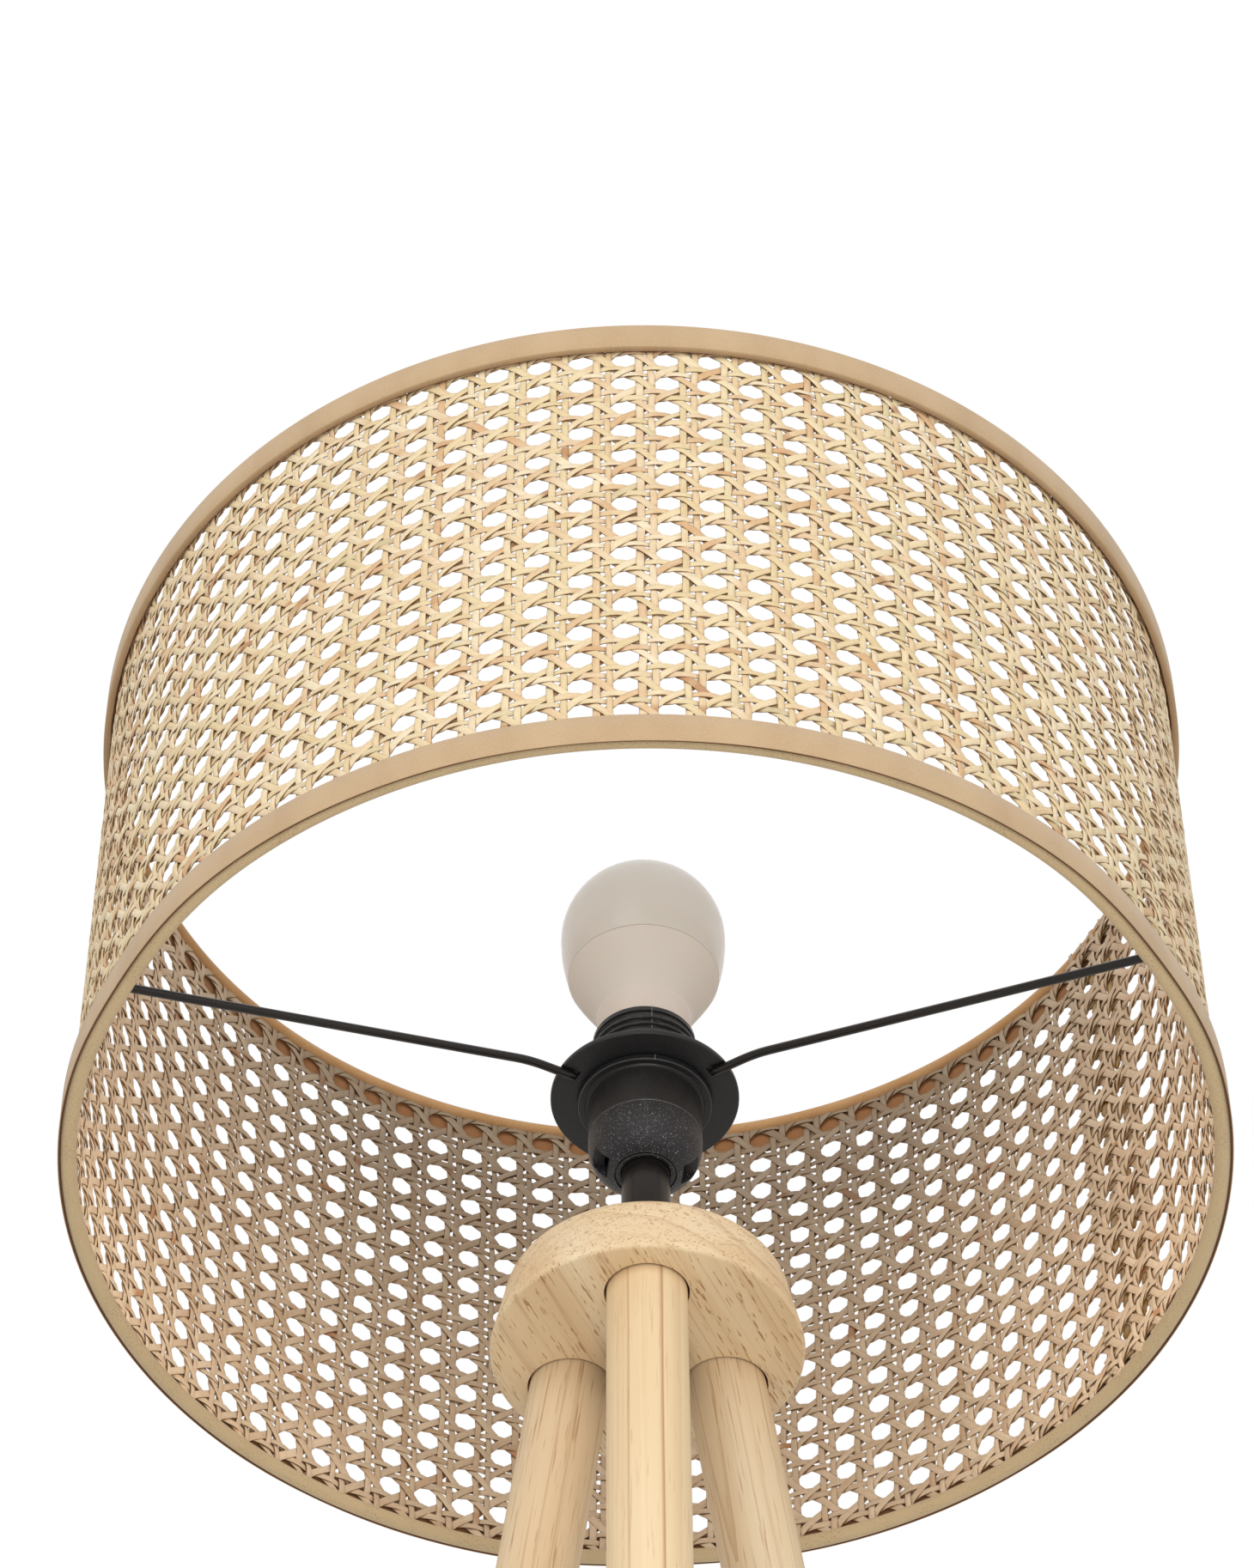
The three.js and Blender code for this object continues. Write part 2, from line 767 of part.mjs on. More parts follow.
function addShade(group) {
  place(group, 'cane_webbing', caneWebbing(), 'cane');
  place(group, 'bottom_trim_tape', trimTape(rimHeight, bottomTapeWidth), 'tape');
  place(group, 'top_trim_tape', trimTape(shadeTop - topTapeWidth, topTapeWidth), 'tape');
  place(group, 'bottom_wire_ring', wireRing(rimHeight + ringRise), 'tape');
  place(group, 'top_wire_ring', wireRing(shadeTop - ringRise), 'tape');
  for (const [side, direction] of Object.entries(armDirections)) {
    const turnedGroup = spoke(direction);
    place(turnedGroup, `spider_arm_${side}`, spiderArm(), 'blackSteel');
    group.add(turnedGroup);
  }
  place(group, 'fitter_plate', fitterPlate(), 'blackPlastic');
  place(group, 'locking_ring', lockingRing(), 'blackPlastic');
}

function addHolder(group) {
  place(group, 'holder_shell', holderShell(), 'blackPlastic');
  place(group, 'holder_cap', holderCap(), 'blackPlastic');
  place(group, 'holder_insert', holderInsert(), 'insulator');
  place(group, 'screw_shell', screwShell(), 'brass');
  place(group, 'contact_leaf', contactLeaf(), 'brass');
  for (const [side, sign] of [['left', -1], ['right', 1]]) {
    const screw = place(group, `terminal_screw_${side}`, terminalScrew(), 'brass');
    screw.position.x = (sign * terminalSpacing) / 2;
  }
}

function addStand(group) {
  place(group, 'stem_tube', stemTube(), 'blackSteel');
  place(group, 'threaded_pipe', threadedPipe(), 'steel');
  place(group, 'hub', hub(), 'wood');
  place(group, 'hub_nut', hubNut(), 'blackPlastic');
  place(group, 'outlet_bush', outletBush(), 'blackPlastic');
  for (const [side, direction] of Object.entries(legDirections)) {
    const turnedGroup = spoke(direction);
    const slanted = new THREE.Group();
    slanted.position.set(socketRadius, 0, hubUnderside);
    slanted.rotation.y = -legSplay;
    place(slanted, `leg_${side}`, leg(), 'wood');
    place(slanted, `leg_stud_${side}`, legStud(), 'steel');
    place(slanted, `leg_sleeve_nut_${side}`, legSleeveNut(), 'steel');
    const pad = place(turnedGroup, `foot_pad_${side}`, footPad(), 'pad');
    pad.position.x = footRadius;
    turnedGroup.add(slanted);
    group.add(turnedGroup);
  }
}

function addBulb(group) {
  place(group, 'bulb_globe', bulbGlobe(), 'opal');
  place(group, 'bulb_housing', bulbHousing(), 'housing');
  place(group, 'bulb_light_board', lightBoard(), 'insulator');
  place(group, 'bulb_screw_cap', screwCap(), 'steel');
  place(group, 'bulb_insulator', capInsulator(), 'blackPlastic');
  place(group, 'bulb_tip_contact', tipContact(), 'steel');
}

const lamp = new THREE.Group();
addShade(lamp);
addHolder(lamp);
addStand(lamp);
addBulb(lamp);

const middle = new THREE.Box3().setFromObject(lamp, true).getCenter(new THREE.Vector3());
lamp.position.set(-middle.x, -middle.y, 0);

export default lamp;
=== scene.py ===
import bmesh
import bpy
import numpy as np
from math import asin, ceil, cos, floor, pi, radians, sin, tau
from mathutils import Matrix, Vector


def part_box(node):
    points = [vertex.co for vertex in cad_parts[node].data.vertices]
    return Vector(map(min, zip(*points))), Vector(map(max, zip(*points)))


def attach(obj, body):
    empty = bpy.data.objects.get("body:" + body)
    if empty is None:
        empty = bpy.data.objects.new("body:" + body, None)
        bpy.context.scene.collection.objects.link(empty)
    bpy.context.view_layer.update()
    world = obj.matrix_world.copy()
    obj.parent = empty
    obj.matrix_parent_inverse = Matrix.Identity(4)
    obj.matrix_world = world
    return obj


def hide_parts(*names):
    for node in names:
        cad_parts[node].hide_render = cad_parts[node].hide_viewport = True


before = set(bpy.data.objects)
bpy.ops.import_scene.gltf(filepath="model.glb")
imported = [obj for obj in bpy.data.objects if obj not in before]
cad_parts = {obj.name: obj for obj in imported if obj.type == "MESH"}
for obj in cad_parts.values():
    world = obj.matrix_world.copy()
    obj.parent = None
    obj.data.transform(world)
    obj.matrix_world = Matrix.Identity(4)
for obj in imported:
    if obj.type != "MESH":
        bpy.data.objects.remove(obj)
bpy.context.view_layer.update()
print("frame loaded")

mm = 0.001
draw = np.random.default_rng(7)  # every random choice comes from this one seed

# Heights and the axis are read off the frame, so that each piece sits where the solids are
tapeLow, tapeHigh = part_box("bottom_trim_tape")
axisX = (tapeLow.x + tapeHigh.x) / 2
axisY = (tapeLow.y + tapeHigh.y) / 2
rimZ = tapeLow.z
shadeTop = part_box("top_trim_tape")[1].z
shadeRadius = (tapeHigh.x - tapeLow.x) / 2


# Meshes

def link(name, data):
    made = bpy.data.objects.new(name, data)
    bpy.context.scene.collection.objects.link(made)
    return made


def addPiece(name, vertices, faces, material, solid, body="lamp", flat=None, attributes=None):
    # solid names what it replaces, and flat is the angle from which its edges are sharp
    mesh = bpy.data.meshes.new(name)
    mesh.from_pydata(np.asarray(vertices, np.float32).tolist(), [], faces)
    mesh.validate()
    mesh.polygons.foreach_set("use_smooth", [True] * len(mesh.polygons))
    for label, values in (attributes or {}).items():
        layer = mesh.attributes.new(label, "FLOAT_VECTOR", "POINT")
        layer.data.foreach_set("vector", np.asarray(values, np.float32).ravel())
    mesh.materials.append(material)
    piece = link(name, mesh)
    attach(piece, body)
    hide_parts(solid)
    if flat:
        tidyMesh(piece, flat)
    return piece


def gridFaces(rows, columns, closedRows=False, closedColumns=False, offset=0):
    # quads over a grid of points, rows by columns, wrapped where asked
    r = np.arange(rows if closedRows else rows - 1)
    c = np.arange(columns if closedColumns else columns - 1)
    r, c = [a.ravel() for a in np.meshgrid(r, c, indexing="ij")]
    r2, c2 = (r + 1) % rows, (c + 1) % columns
    quads = np.stack([r * columns + c, r * columns + c2, r2 * columns + c2, r2 * columns + c], 1)
    return (quads + offset).tolist()


def tubeFaces(rows, sides, offset=0):
    # a tube of rows with both of its ends closed
    last = offset + (rows - 1) * sides
    ends = [list(range(offset, offset + sides))[::-1], list(range(last, last + sides))]
    return gridFaces(rows, sides, False, True, offset) + ends


def stepsRound(sides):
    return np.linspace(0, tau, sides, endpoint=False)


def aboutAxis(radius, angle, height):
    # points about the stem's axis, with angles from +X
    x = axisX + radius * np.cos(angle)
    return np.stack([x, axisY + radius * np.sin(angle), height + 0 * x], -1)


def aboutShade(radius, angle, height):
    # points about the same axis, with angles from the shade's nearest point
    x = axisX + radius * np.sin(angle)
    return np.stack([x, axisY - radius * np.cos(angle), height + 0 * x], -1)


def turnedPiece(name, outline, material, slot, solid, body="lamp", sides=128, flat=35):
    # an outline of (radius, height) in millimetres turned about the axis, closed if it returns to its start
    closed = tuple(outline[0]) == tuple(outline[-1])
    profile = np.array(outline[:-1] if closed else outline, float) * mm
    vertices = aboutAxis(profile[None, :, 0], stepsRound(sides)[:, None], profile[None, :, 1]).reshape(-1, 3)
    faces = [f[::-1] for f in gridFaces(sides, len(profile), True, closed)]
    return addPiece(name, vertices, faces, material, solid, body, flat)


def shapedRing(name, rows, sides, material, solid, body="lamp", flat=30, base=0.0):
    # a closed ring of (radius, height) rows in millimetres, where a radius may differ from side to side
    radius = np.stack([np.broadcast_to(r, sides) for r, z in rows], 1) * mm
    height = base + np.array([z for r, z in rows]) * mm
    vertices = aboutAxis(radius, stepsRound(sides)[:, None], height).reshape(-1, 3)
    addPiece(name, vertices, gridFaces(sides, len(rows), True, True), material, solid, body, flat)


def knurledRing(name, solid, look, body="lamp"):
    # a grip ring in its solid's place; rows rise from the bottom, the last two from the top, and are drawn in
    bottom, top, outer = solidSizes(solid)
    sides, hole = look["teeth"] * 12, look["hole"]
    ridge = np.tanh(3 * np.cos(look["teeth"] * stepsRound(sides)))
    grip = outer - look["toothDepth"] * (0.5 - 0.5 * ridge)
    levels = (bottom, bottom, top, top)
    rows = [(grip - inset, level + rise) for level, (rise, inset) in zip(levels, look["rows"])]
    shapedRing(name, [(hole, bottom), *rows, (hole, top)], sides, blackPlastic, solid, body)


def cleanMesh(mesh, apart=0.005):
    # joins points that lie together and turns the faces outwards
    work = bmesh.new()
    work.from_mesh(mesh)
    bmesh.ops.remove_doubles(work, verts=work.verts, dist=apart * mm)
    bmesh.ops.recalc_face_normals(work, faces=work.faces)
    work.to_mesh(mesh)
    work.free()


def tidyMesh(piece, flat):
    cleanMesh(piece.data)
    piece.data.polygons.foreach_set("use_smooth", [True] * len(piece.data.polygons))
    piece.data.set_sharp_from_angle(angle=radians(flat))


def bend(start, corner, end, t):
    # where a curve that rounds a corner is at t
    return (1 - t) ** 2 * start + 2 * t * (1 - t) * corner + t * t * end


def rounded(outline, radius, steps=4):
    # a closed outline in millimetres with its corners rounded
    made = []
    for i, point in enumerate(outline[:-1]):
        here = np.array(point, float)
        ways = [np.array(outline[j], float) - here for j in (i - 1 if i else -2, i + 1)]
        lengths = [np.linalg.norm(way) for way in ways]
        reach = min(radius, 0.45 * min(lengths))
        start, end = (here + way / length * reach for way, length in zip(ways, lengths))
        made += [tuple(bend(start, here, end, k / steps)) for k in range(steps + 1)]
    return made + made[:1]


def sleeve(inner, outer, bottom, top):
    # a closed outline of square corners
    return [(inner, bottom), (outer, bottom), (outer, top), (inner, top), (inner, bottom)]


def toolPiece(name, vertices, faces):
    mesh = bpy.data.meshes.new(name)
    mesh.from_pydata([tuple(v) for v in vertices], [], faces)
    cleanMesh(mesh, 0.001)
    return link(name, mesh)


def cutPiece(piece, tools, flat):
    # takes the tools out of the piece and removes them
    for tool in tools:
        modifier = piece.modifiers.new("cut", "BOOLEAN")
        modifier.operation = "DIFFERENCE"
        modifier.solver = "EXACT"
        modifier.object = tool
    bpy.context.view_layer.update()
    shape = piece.evaluated_get(bpy.context.evaluated_depsgraph_get())
    mesh = bpy.data.meshes.new_from_object(shape)
    material = piece.data.materials[0]
    piece.modifiers.clear()
    piece.data = mesh
    mesh.materials.clear()
    mesh.materials.append(material)
    for tool in tools:
        bpy.data.objects.remove(tool)
    tidyMesh(piece, flat)


def solidSizes(name):
    # bottom, top and radius of a solid in millimetres
    low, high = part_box(name)
    return low.z / mm, high.z / mm, (high.x - low.x) / 2 / mm


def outwardFrom(angle):
    # the directions away from the axis and to the left of that
    x, y = cos(angle), sin(angle)
    return np.array([x, y, 0]), np.array([-y, x, 0])


# Materials

def newMaterial(name):
    material = bpy.data.materials.new(name)
    material.use_nodes = True
    return material, material.node_tree


def plug(socket, value):
    if isinstance(value, bpy.types.NodeSocket):
        socket.id_data.links.new(value, socket)
    else:
        socket.default_value = value


def node(tree, kind, inputs=None, **settings):
    made = tree.nodes.new("ShaderNode" + kind)
    for key, value in settings.items():
        setattr(made, key, value)
    for key, value in (inputs or {}).items():
        plug(made.inputs[key], value)
    return made


def treeOf(*values):
    # node tree of the first socket among the values
    return next(v.id_data for v in values if isinstance(v, bpy.types.NodeSocket))


def maths(operation, a, b=0.0):
    return node(treeOf(a, b), "Math", {0: a, 1: b}, operation=operation).outputs[0]


def times(a, b):
    return maths("MULTIPLY", a, b)


def plus(a, b):
    return maths("ADD", a, b)


def ramp(factor, stops):
    # stops are places with a colour or a grey level
    band = node(treeOf(factor), "ValToRGB", {"Fac": factor})
    elements = band.color_ramp.elements
    while len(elements) < len(stops):
        elements.new(0.5)
    for element, (place, colour) in zip(elements, stops):
        element.position = place
        element.color = (*colour, 1) if isinstance(colour, tuple) else (colour, colour, colour, 1)
    return band.outputs["Color"]


def mix(factor, a, b, blend="MIX"):
    made = node(treeOf(factor, a, b), "Mix", {"Factor": factor}, data_type="RGBA", blend_type=blend)
    for socket, value in ((made.inputs[6], a), (made.inputs[7], b)):
        plug(socket, (*value, 1) if isinstance(value, tuple) else value)
    return made.outputs[2]


def linear(*levels):
    # colour written as the 0 to 255 levels of a picture
    return tuple((v / 255 / 12.92) if v <= 10 else ((v / 255 + 0.055) / 1.055) ** 2.4 for v in levels)


def shaded(colour, level):
    return tuple(level * c for c in colour)


def scaled(source, scale, place=(0, 0, 0)):
    return node(treeOf(source), "Mapping", {"Vector": source, "Scale": scale, "Location": place}).outputs[0]


def noise(vector, scale, detail=3, roughness=0.5):
    inputs = {"Vector": vector, "Scale": scale, "Detail": detail, "Roughness": roughness}
    return node(treeOf(vector), "TexNoise", inputs).outputs["Fac"]


def whiteNoise(number):
    return node(treeOf(number), "TexWhiteNoise", {"W": number}, noise_dimensions="1D").outputs["Value"]


def split(vector):
    return node(treeOf(vector), "SeparateXYZ", {"Vector": vector}).outputs


def combine(x, y, z=0.0):
    return node(treeOf(x, y, z), "CombineXYZ", {"X": x, "Y": y, "Z": z}).outputs[0]


def attribute(tree, name):
    return node(tree, "Attribute", attribute_name=name).outputs["Vector"]


def objectVector(tree):
    return node(tree, "TexCoord").outputs["Object"]


def paint(material, colour, relief, values):
    # colour and relief are linked to the shader, and each value is set on its own socket
    tree = material.node_tree
    inputs = tree.nodes["Principled BSDF"].inputs
    plug(inputs["Base Color"], colour)
    for name, value in values.items():
        inputs[name].default_value = value
    if relief:
        height, strength, distance = relief
        raised = node(tree, "Bump", {"Height": height, "Strength": strength, "Distance": distance})
        plug(inputs["Normal"], raised.outputs["Normal"])
    return material


caneLook = {
    "outside": [(0.15, linear(198, 184, 142)), (0.3, linear(236, 217, 176)), (0.44, linear(226, 202, 156)),
                (0.58, linear(240, 221, 182)), (0.7, linear(225, 190, 146)), (0.82, linear(243, 228, 196)),
                (0.97, linear(214, 170, 124))],
    "inside": [(0.15, linear(206, 184, 155)), (0.45, linear(206, 178, 146)), (0.7, linear(223, 200, 170)),
               (0.95, linear(194, 162, 128))],
    "line": (0.55, 0.46, 0.36),
    "brown": linear(172, 108, 54),
    "fleck": linear(84, 62, 42),
    # edge is painted shade along each strand's sides
    "edge": linear(122, 84, 48),
    # under is painted shade where a strand dips beneath its neighbours
    "under": (0.5, 0.39, 0.29),
    "finish": {"Roughness": 0.48, "Specular IOR Level": 0.35},
}


def caneMaterial():
    # the strand attribute holds millimetres along, share across, and the strand's own number; the side
    # attribute holds 1 on the inward face, how far out the strand runs from -1 to 1, and the inward face's
    # painted light
    look = caneLook
    material, tree = newMaterial("cane")
    along, across, number = split(attribute(tree, "strand"))
    inward, rise, level = split(attribute(tree, "side"))

    def alongNoise(turn, scale):
        return noise(combine(along, times(number, turn)), scale, 2)

    tone = plus(times(whiteNoise(number), 0.75), times(alongNoise(37.7, 0.05), 0.45))
    base = mix(inward, ramp(tone, look["outside"]), ramp(tone, look["inside"]))
    fibre = noise(combine(times(along, 0.05), times(across, 2.2), number), 4.5, 3, 0.65)
    lined = mix(0.75, base, ramp(fibre, [(0.3, look["line"]), (0.47, 1)]), "MULTIPLY")
    browned = mix(ramp(alongNoise(11.3, 0.035), [(0.66, 0), (0.71, 0.75)]), lined, look["brown"])
    flecked = mix(ramp(alongNoise(5.1, 0.9), [(0.77, 0), (0.8, 0.75)]), browned, look["fleck"])
    # painted shade: each strand's sides are darkened toward the edge colour
    edgeShaded = mix(ramp(maths("ABSOLUTE", across), [(0.88, 0), (0.97, 0.85)]), flecked, look["edge"])
    # painted shade: strands darken where they run under others, on the outer and the inner face
    outward = maths("SUBTRACT", 1.0, times(inward, 2.0))
    paintedShadeUnder = ramp(times(times(rise, outward), -1.0), [(0.1, 1), (0.85, look["under"])])
    # painted light: inward faces are scaled by the side attribute's third value
    lit = node(tree, "VectorMath", {0: edgeShaded, "Scale": level}, operation="SCALE").outputs[0]
    withInsideLight = mix(inward, edgeShaded, lit)
    return paint(material, mix(1.0, withInsideLight, paintedShadeUnder, "MULTIPLY"), (fibre, 0.4, 0.0003), look["finish"])


tapeLook = {
    "colour": linear(200, 171, 134),
    "shade": linear(180, 149, 112),
    "inner": linear(158, 112, 72),
    "ribPitch": 0.55,
    "finish": {"Roughness": 0.85, "Sheen Weight": 0.25, "Specular IOR Level": 0.25},
}


def tapeMaterial(name, colour, shade, speckle=0.6):
    # the rib attribute holds millimetres along the ribbon, then across it, and 1 on its inner face
    look = tapeLook
    material, tree = newMaterial(name)
    rib = attribute(tree, "rib")
    along, _, inner = split(rib)
    wave = maths("SINE", times(along, tau / look["ribPitch"]))
    weft = noise(scaled(rib, (2.2, 0.9, 1)), 1.0, 4, 0.65)
    soft = noise(scaled(rib, (0.05, 0.02, 1)), 1.0, 2)
    reach = (speckle + 0.5) / 1.1  # keeps the ramp's stops in place when the specks grow
    tone = plus(times(weft, speckle), times(soft, 0.5))
    outside = ramp(tone, [(0.3 * reach, shade), (0.62 * reach, colour)])
    relief = (plus(times(wave, 0.35), weft), 0.5, 0.00012)
    return paint(material, mix(inner, outside, look["inner"]), relief, look["finish"])


woodLook = {
    "pale": linear(243, 224, 190),
    "body": linear(236, 211, 172),
    "warm": linear(221, 189, 146),
    "line": linear(166, 110, 60),
    "finish": {"Roughness": 0.55, "Specular IOR Level": 0.3},
}
woods = {  # lines' spacing in metres, wander, strength and slow rise, then dashes, their scale, and the tint, darkened on the side legs as painted shade
    "legWood": (0.0052, 1.3, 0.85, 0.9, 0.22, (1300, 1300, 42), (0.93, 0.88, 0.81)),
    "legWoodPaintedShade": (0.0029, 1.5, 0.55, 0.8, 0.5, (1400, 1400, 40), (0.86, 0.835, 0.82)),
    "hubWood": (0.0062, 2.4, 0.42, 0.75, 0.75, (1250, 1250, 135), (1.0, 0.985, 0.965)),
}


def woodMaterial(name):
    # the grain attribute holds metres across, across and along the grain, and rings lie round its middle
    look = woodLook
    lineSpacing, wander, strength, slowRise, streaks, poreSize, tintAndShade = woods[name]
    material, tree = newMaterial(name)
    grain = attribute(tree, "grain")
    across = node(tree, "VectorMath", {0: scaled(grain, (1, 1, 0))}, operation="LENGTH").outputs["Value"]

    def growthLines(spacing, wander, seed, rise):
        # bands that darken slowly and end at a line; each line has its own strength
        drift = noise(scaled(grain, (22, 22, 1.6), (seed, 0, 0)), 1.0, 2)
        place = plus(maths("DIVIDE", across, spacing), times(drift, wander))
        edge = ramp(maths("FRACT", place), [(0.0, 1), (0.035, 0), (rise, 0), (0.97, 0.75), (1.0, 1)])
        return times(edge, maths("POWER", whiteNoise(maths("FLOOR", place)), 1.6))

    soft = noise(scaled(grain, (26, 26, 2.4)), 1.0, 3)
    fine = noise(scaled(grain, (520, 520, 7)), 1.0, 3, 0.6)
    pores = noise(scaled(grain, poreSize), 1.0, 2, 0.5)
    base = ramp(soft, [(0.32, look["pale"]), (0.5, look["body"]), (0.68, look["warm"])])
    broad = mix(times(growthLines(lineSpacing, wander, 3.1, 0.35), 0.7), base, look["warm"])
    lines = growthLines(lineSpacing * 1.9, wander * 0.6, 7.7, slowRise)
    thin = times(ramp(fine, [(0.55, 0), (0.7, 1)]), streaks * 0.55)
    dashes = times(ramp(pores, [(0.62, 0), (0.68, 1)]), streaks)
    marked = broad
    for share in (times(lines, strength), thin, dashes):
        marked = mix(share, marked, look["line"])
    return paint(material, mix(1.0, marked, tintAndShade, "MULTIPLY"), (plus(fine, pores), 0.25, 0.0001), look["finish"])


plastics = {  # colour, roughness, the grain's scale and depth, and the share of pale specks, as dust and painted glints
    "blackPlastic": (linear(29, 29, 31), 0.42, 1500, 0.00012, 0.1),
    "grainedPlastic": (linear(33, 33, 38), 0.36, 1500, 0.0009, 0.95),
    "blackSteel": (linear(24, 22, 22), 0.22, 900, 0.00005, 0.0),
    # the two seam greys are painted highlights on the black plastic's ridges and edges
    "seamHighlight": (linear(132, 128, 118), 0.5, 600, 0.00005, 0.0),
    "dimEdgeHighlight": (linear(98, 96, 92), 0.5, 600, 0.00005, 0.0),
    "glaze": (linear(232, 229, 220), 0.3, 300, 0.00005, 0.0),
    "mouthHighlight": (linear(250, 246, 240), 0.4, 300, 0.00005, 0.0),
}


def plasticMaterial(name):
    colour, roughness, grainScale, grainDepth, speckle = plastics[name]
    material, tree = newMaterial(name)
    place = objectVector(tree)
    # pale bluish specks: dust and painted glints
    dustAndGlints = ramp(noise(place, grainScale * 1.4, 1), [(0.64, 0), (0.72, 1)])
    tone = mix(noise(place, 40, 2), shaded(colour, 0.85), shaded(colour, 1.15))
    lifted = mix(times(dustAndGlints, speckle), tone, (0.32, 0.33, 0.36))
    relief = (noise(place, grainScale, 2, 0.6), 0.5, grainDepth)
    return paint(material, lifted, relief, {"Roughness": roughness})


clouds = {  # a cloud's scale, detail and darkest level, then its relief's scale, strength and depth
    "metal": (90, 3, 0.8, (900, 0.15, 0.00005)),
    "milk": (25, 2, 0.96, (300, 0.04, 0.00005)),
    "glue": (420, 2, 0.7, (420, 0.4, 0.0003)),
    "floor": (1.5, 3, 0.97, None),
}


def cloudyMaterial(name, kind, colour, values):
    scale, detail, darkest, relief = clouds[kind]
    material, tree = newMaterial(name)
    place = objectVector(tree)
    if relief:
        relief = (noise(place, relief[0], 2), *relief[1:])
    return paint(material, mix(noise(place, scale, detail), shaded(colour, darkest), colour), relief, values)


def feltMaterial():
    material, tree = newMaterial("felt")
    fibres = noise(objectVector(tree), 2600, 4, 0.7)
    colour = ramp(fibres, [(0.3, linear(96, 82, 66)), (0.7, linear(150, 130, 106))])
    return paint(material, colour, (fibres, 0.8, 0.0003), {"Roughness": 0.95, "Sheen Weight": 0.4})


cane = caneMaterial()
tape = tapeMaterial("tape", tapeLook["colour"], tapeLook["shade"])
wrap = tapeMaterial("wrap", linear(220, 194, 152), linear(164, 135, 94), 1.6)
topWrap = tapeMaterial("topWrap", linear(206, 164, 116), linear(184, 136, 86))
legWood, legWoodPaintedShade, hubWood = map(woodMaterial, woods)
blackPlastic, grainedPlastic, blackSteel, seamHighlight, dimEdgeHighlight, glaze, mouthHighlight = map(plasticMaterial, plastics)
zinc = cloudyMaterial("zinc", "metal", (0.62, 0.63, 0.64), {"Metallic": 1.0, "Roughness": 0.34})
brass = cloudyMaterial("brass", "metal", (0.68, 0.5, 0.2), {"Metallic": 1.0, "Roughness": 0.3})
felt = feltMaterial()
milky = {"Sheen Weight": 0.12, "Subsurface Scale": 0.01}
opal = cloudyMaterial("opal", "milk", linear(240, 231, 224),
                      milky | {"Roughness": 0.24, "Subsurface Weight": 0.2})
housing = cloudyMaterial("housing", "milk", linear(241, 232, 224),
                         milky | {"Roughness": 0.4, "Subsurface Weight": 0.1})
glue = cloudyMaterial("glue", "glue", linear(196, 150, 70), {"Roughness": 0.25, "Transmission Weight": 0.35})
# dark brown painted shadow for the groove under the bottom tape
grooveShadow = cloudyMaterial("grooveShadow", "glue", linear(104, 66, 34), {"Roughness": 0.6})
print("materials made")


# Webbing: a strip with two sets of uprights, two of rounds and one diagonal each way, over and under in
# twos. Columns are counted to the right from the hole nearest the viewer, rows from the lowest hole.
weave = {
    "columnPlaces": [(-60, -256.7), (-55, -235.6), (-41, -176.55), (-11, -48.86), (11, 46.12), (26, 110.1),
                     (30, 127.2)],  # columns and their degrees round the shade
    "rows": 16,
    "stripEnds": (-57.8, 28.9),  # columns at the strip's two ends, which overlap
    "lapStart": 25.7,  # from this column on the strip lies inside its other end
    "lapInset": 1.9,
    "rowRise": (4.12, 1.34),  # lowest holes above the rim: mean, then what the near side adds
    "rowPitch": (14.40, -0.26),
    "lowEnd": -0.12,  # row at which rising strands begin
    "topEdge": 1.4,  # strands' ends below the shade's top
    "pairShare": 0.137,  # half the spacing of a pair, as a share of the pitch
    "widths": {"upright": 2.65, "round": 2.6, "diagonal": 3.05},
    "widthSpread": 0.07,
    "strandThickness": 0.62,
    "relief": 0.52,
    "samples": 7,  # per pitch
    "wander": 0.28,
    "tilt": 0.1,
    "swing": 0.02,  # how far diagonals bow away from the holes, as a share of the pitch
    "inset": 4.1,  # outside of the tape to the strands' middle
    "armPull": 1.7,  # how far each arm draws the rim in
    "pullWidth": 10.0,  # degrees
    "pullFade": 30,
    "insidePaintedLight": (2.0, -0.004, -0.0165),  # painted light on inward faces: level, per millimetre up and per degree past 105
}
armDirections = {"right": radians(-31.5), "back": radians(88.5), "left": radians(208.5)}
sectionShares = [(-1, -0.1), (-0.86, 0.34), (0, 0.5), (0.86, 0.34), (1, -0.1), (0.86, -0.42), (-0.86, -0.42)]


def columnAngle(column):
    places = np.array(weave["columnPlaces"])
    return np.radians(np.interp(column, places[:, 0], places[:, 1]))


def rowSizes(angle):
    near = np.cos(angle)
    return tuple((mean + wave * near) * mm for mean, wave in (weave["rowRise"], weave["rowPitch"]))


def rowHeight(row, angle):
    rise, pitch = rowSizes(angle)
    return rimZ + rise + pitch * row


def rimPull(angle):
    # angle round the shade from its nearest point; the arms' ends draw the rim in
    pull = 0
    for direction in armDirections.values():
        apart = (angle - direction - pi / 2 + pi) % tau - pi
        pull = pull + np.exp(-(apart / radians(weave["pullWidth"])) ** 2)
    return pull * weave["armPull"] * mm


def smoothStep(share):
    return share * share * (3 - 2 * share)


def smoothNoise(count, length, size):
    # a gentle random wave for each of count strands, sampled at length places
    knots = draw.normal(0, 1, (count, max(4, length // 9 + 3)))
    places = np.linspace(0, knots.shape[1] - 1.001, length)
    low = places.astype(int)
    share = smoothStep(places - low)
    return (knots[:, low] * (1 - share) + knots[:, low + 1] * share) * size


def insidePaintedLight(angle, height):
    # painted light: inward faces are brighter near the rim, darker higher up and towards the back
    start, climb, turn = weave["insidePaintedLight"]
    apart = np.degrees(np.abs((angle + pi) % tau - pi))
    return np.clip(start + climb * (height - rimZ) / mm + turn * np.clip(apart - 105, 0, 45), 0.5, 2.1)


def perPoint(*parts):
    # three values for each point of a mesh
    return np.stack(np.broadcast_arrays(*parts), -1).reshape(-1, 3)


def unit(vectors):
    return vectors / np.linalg.norm(vectors, axis=-1)[..., None]


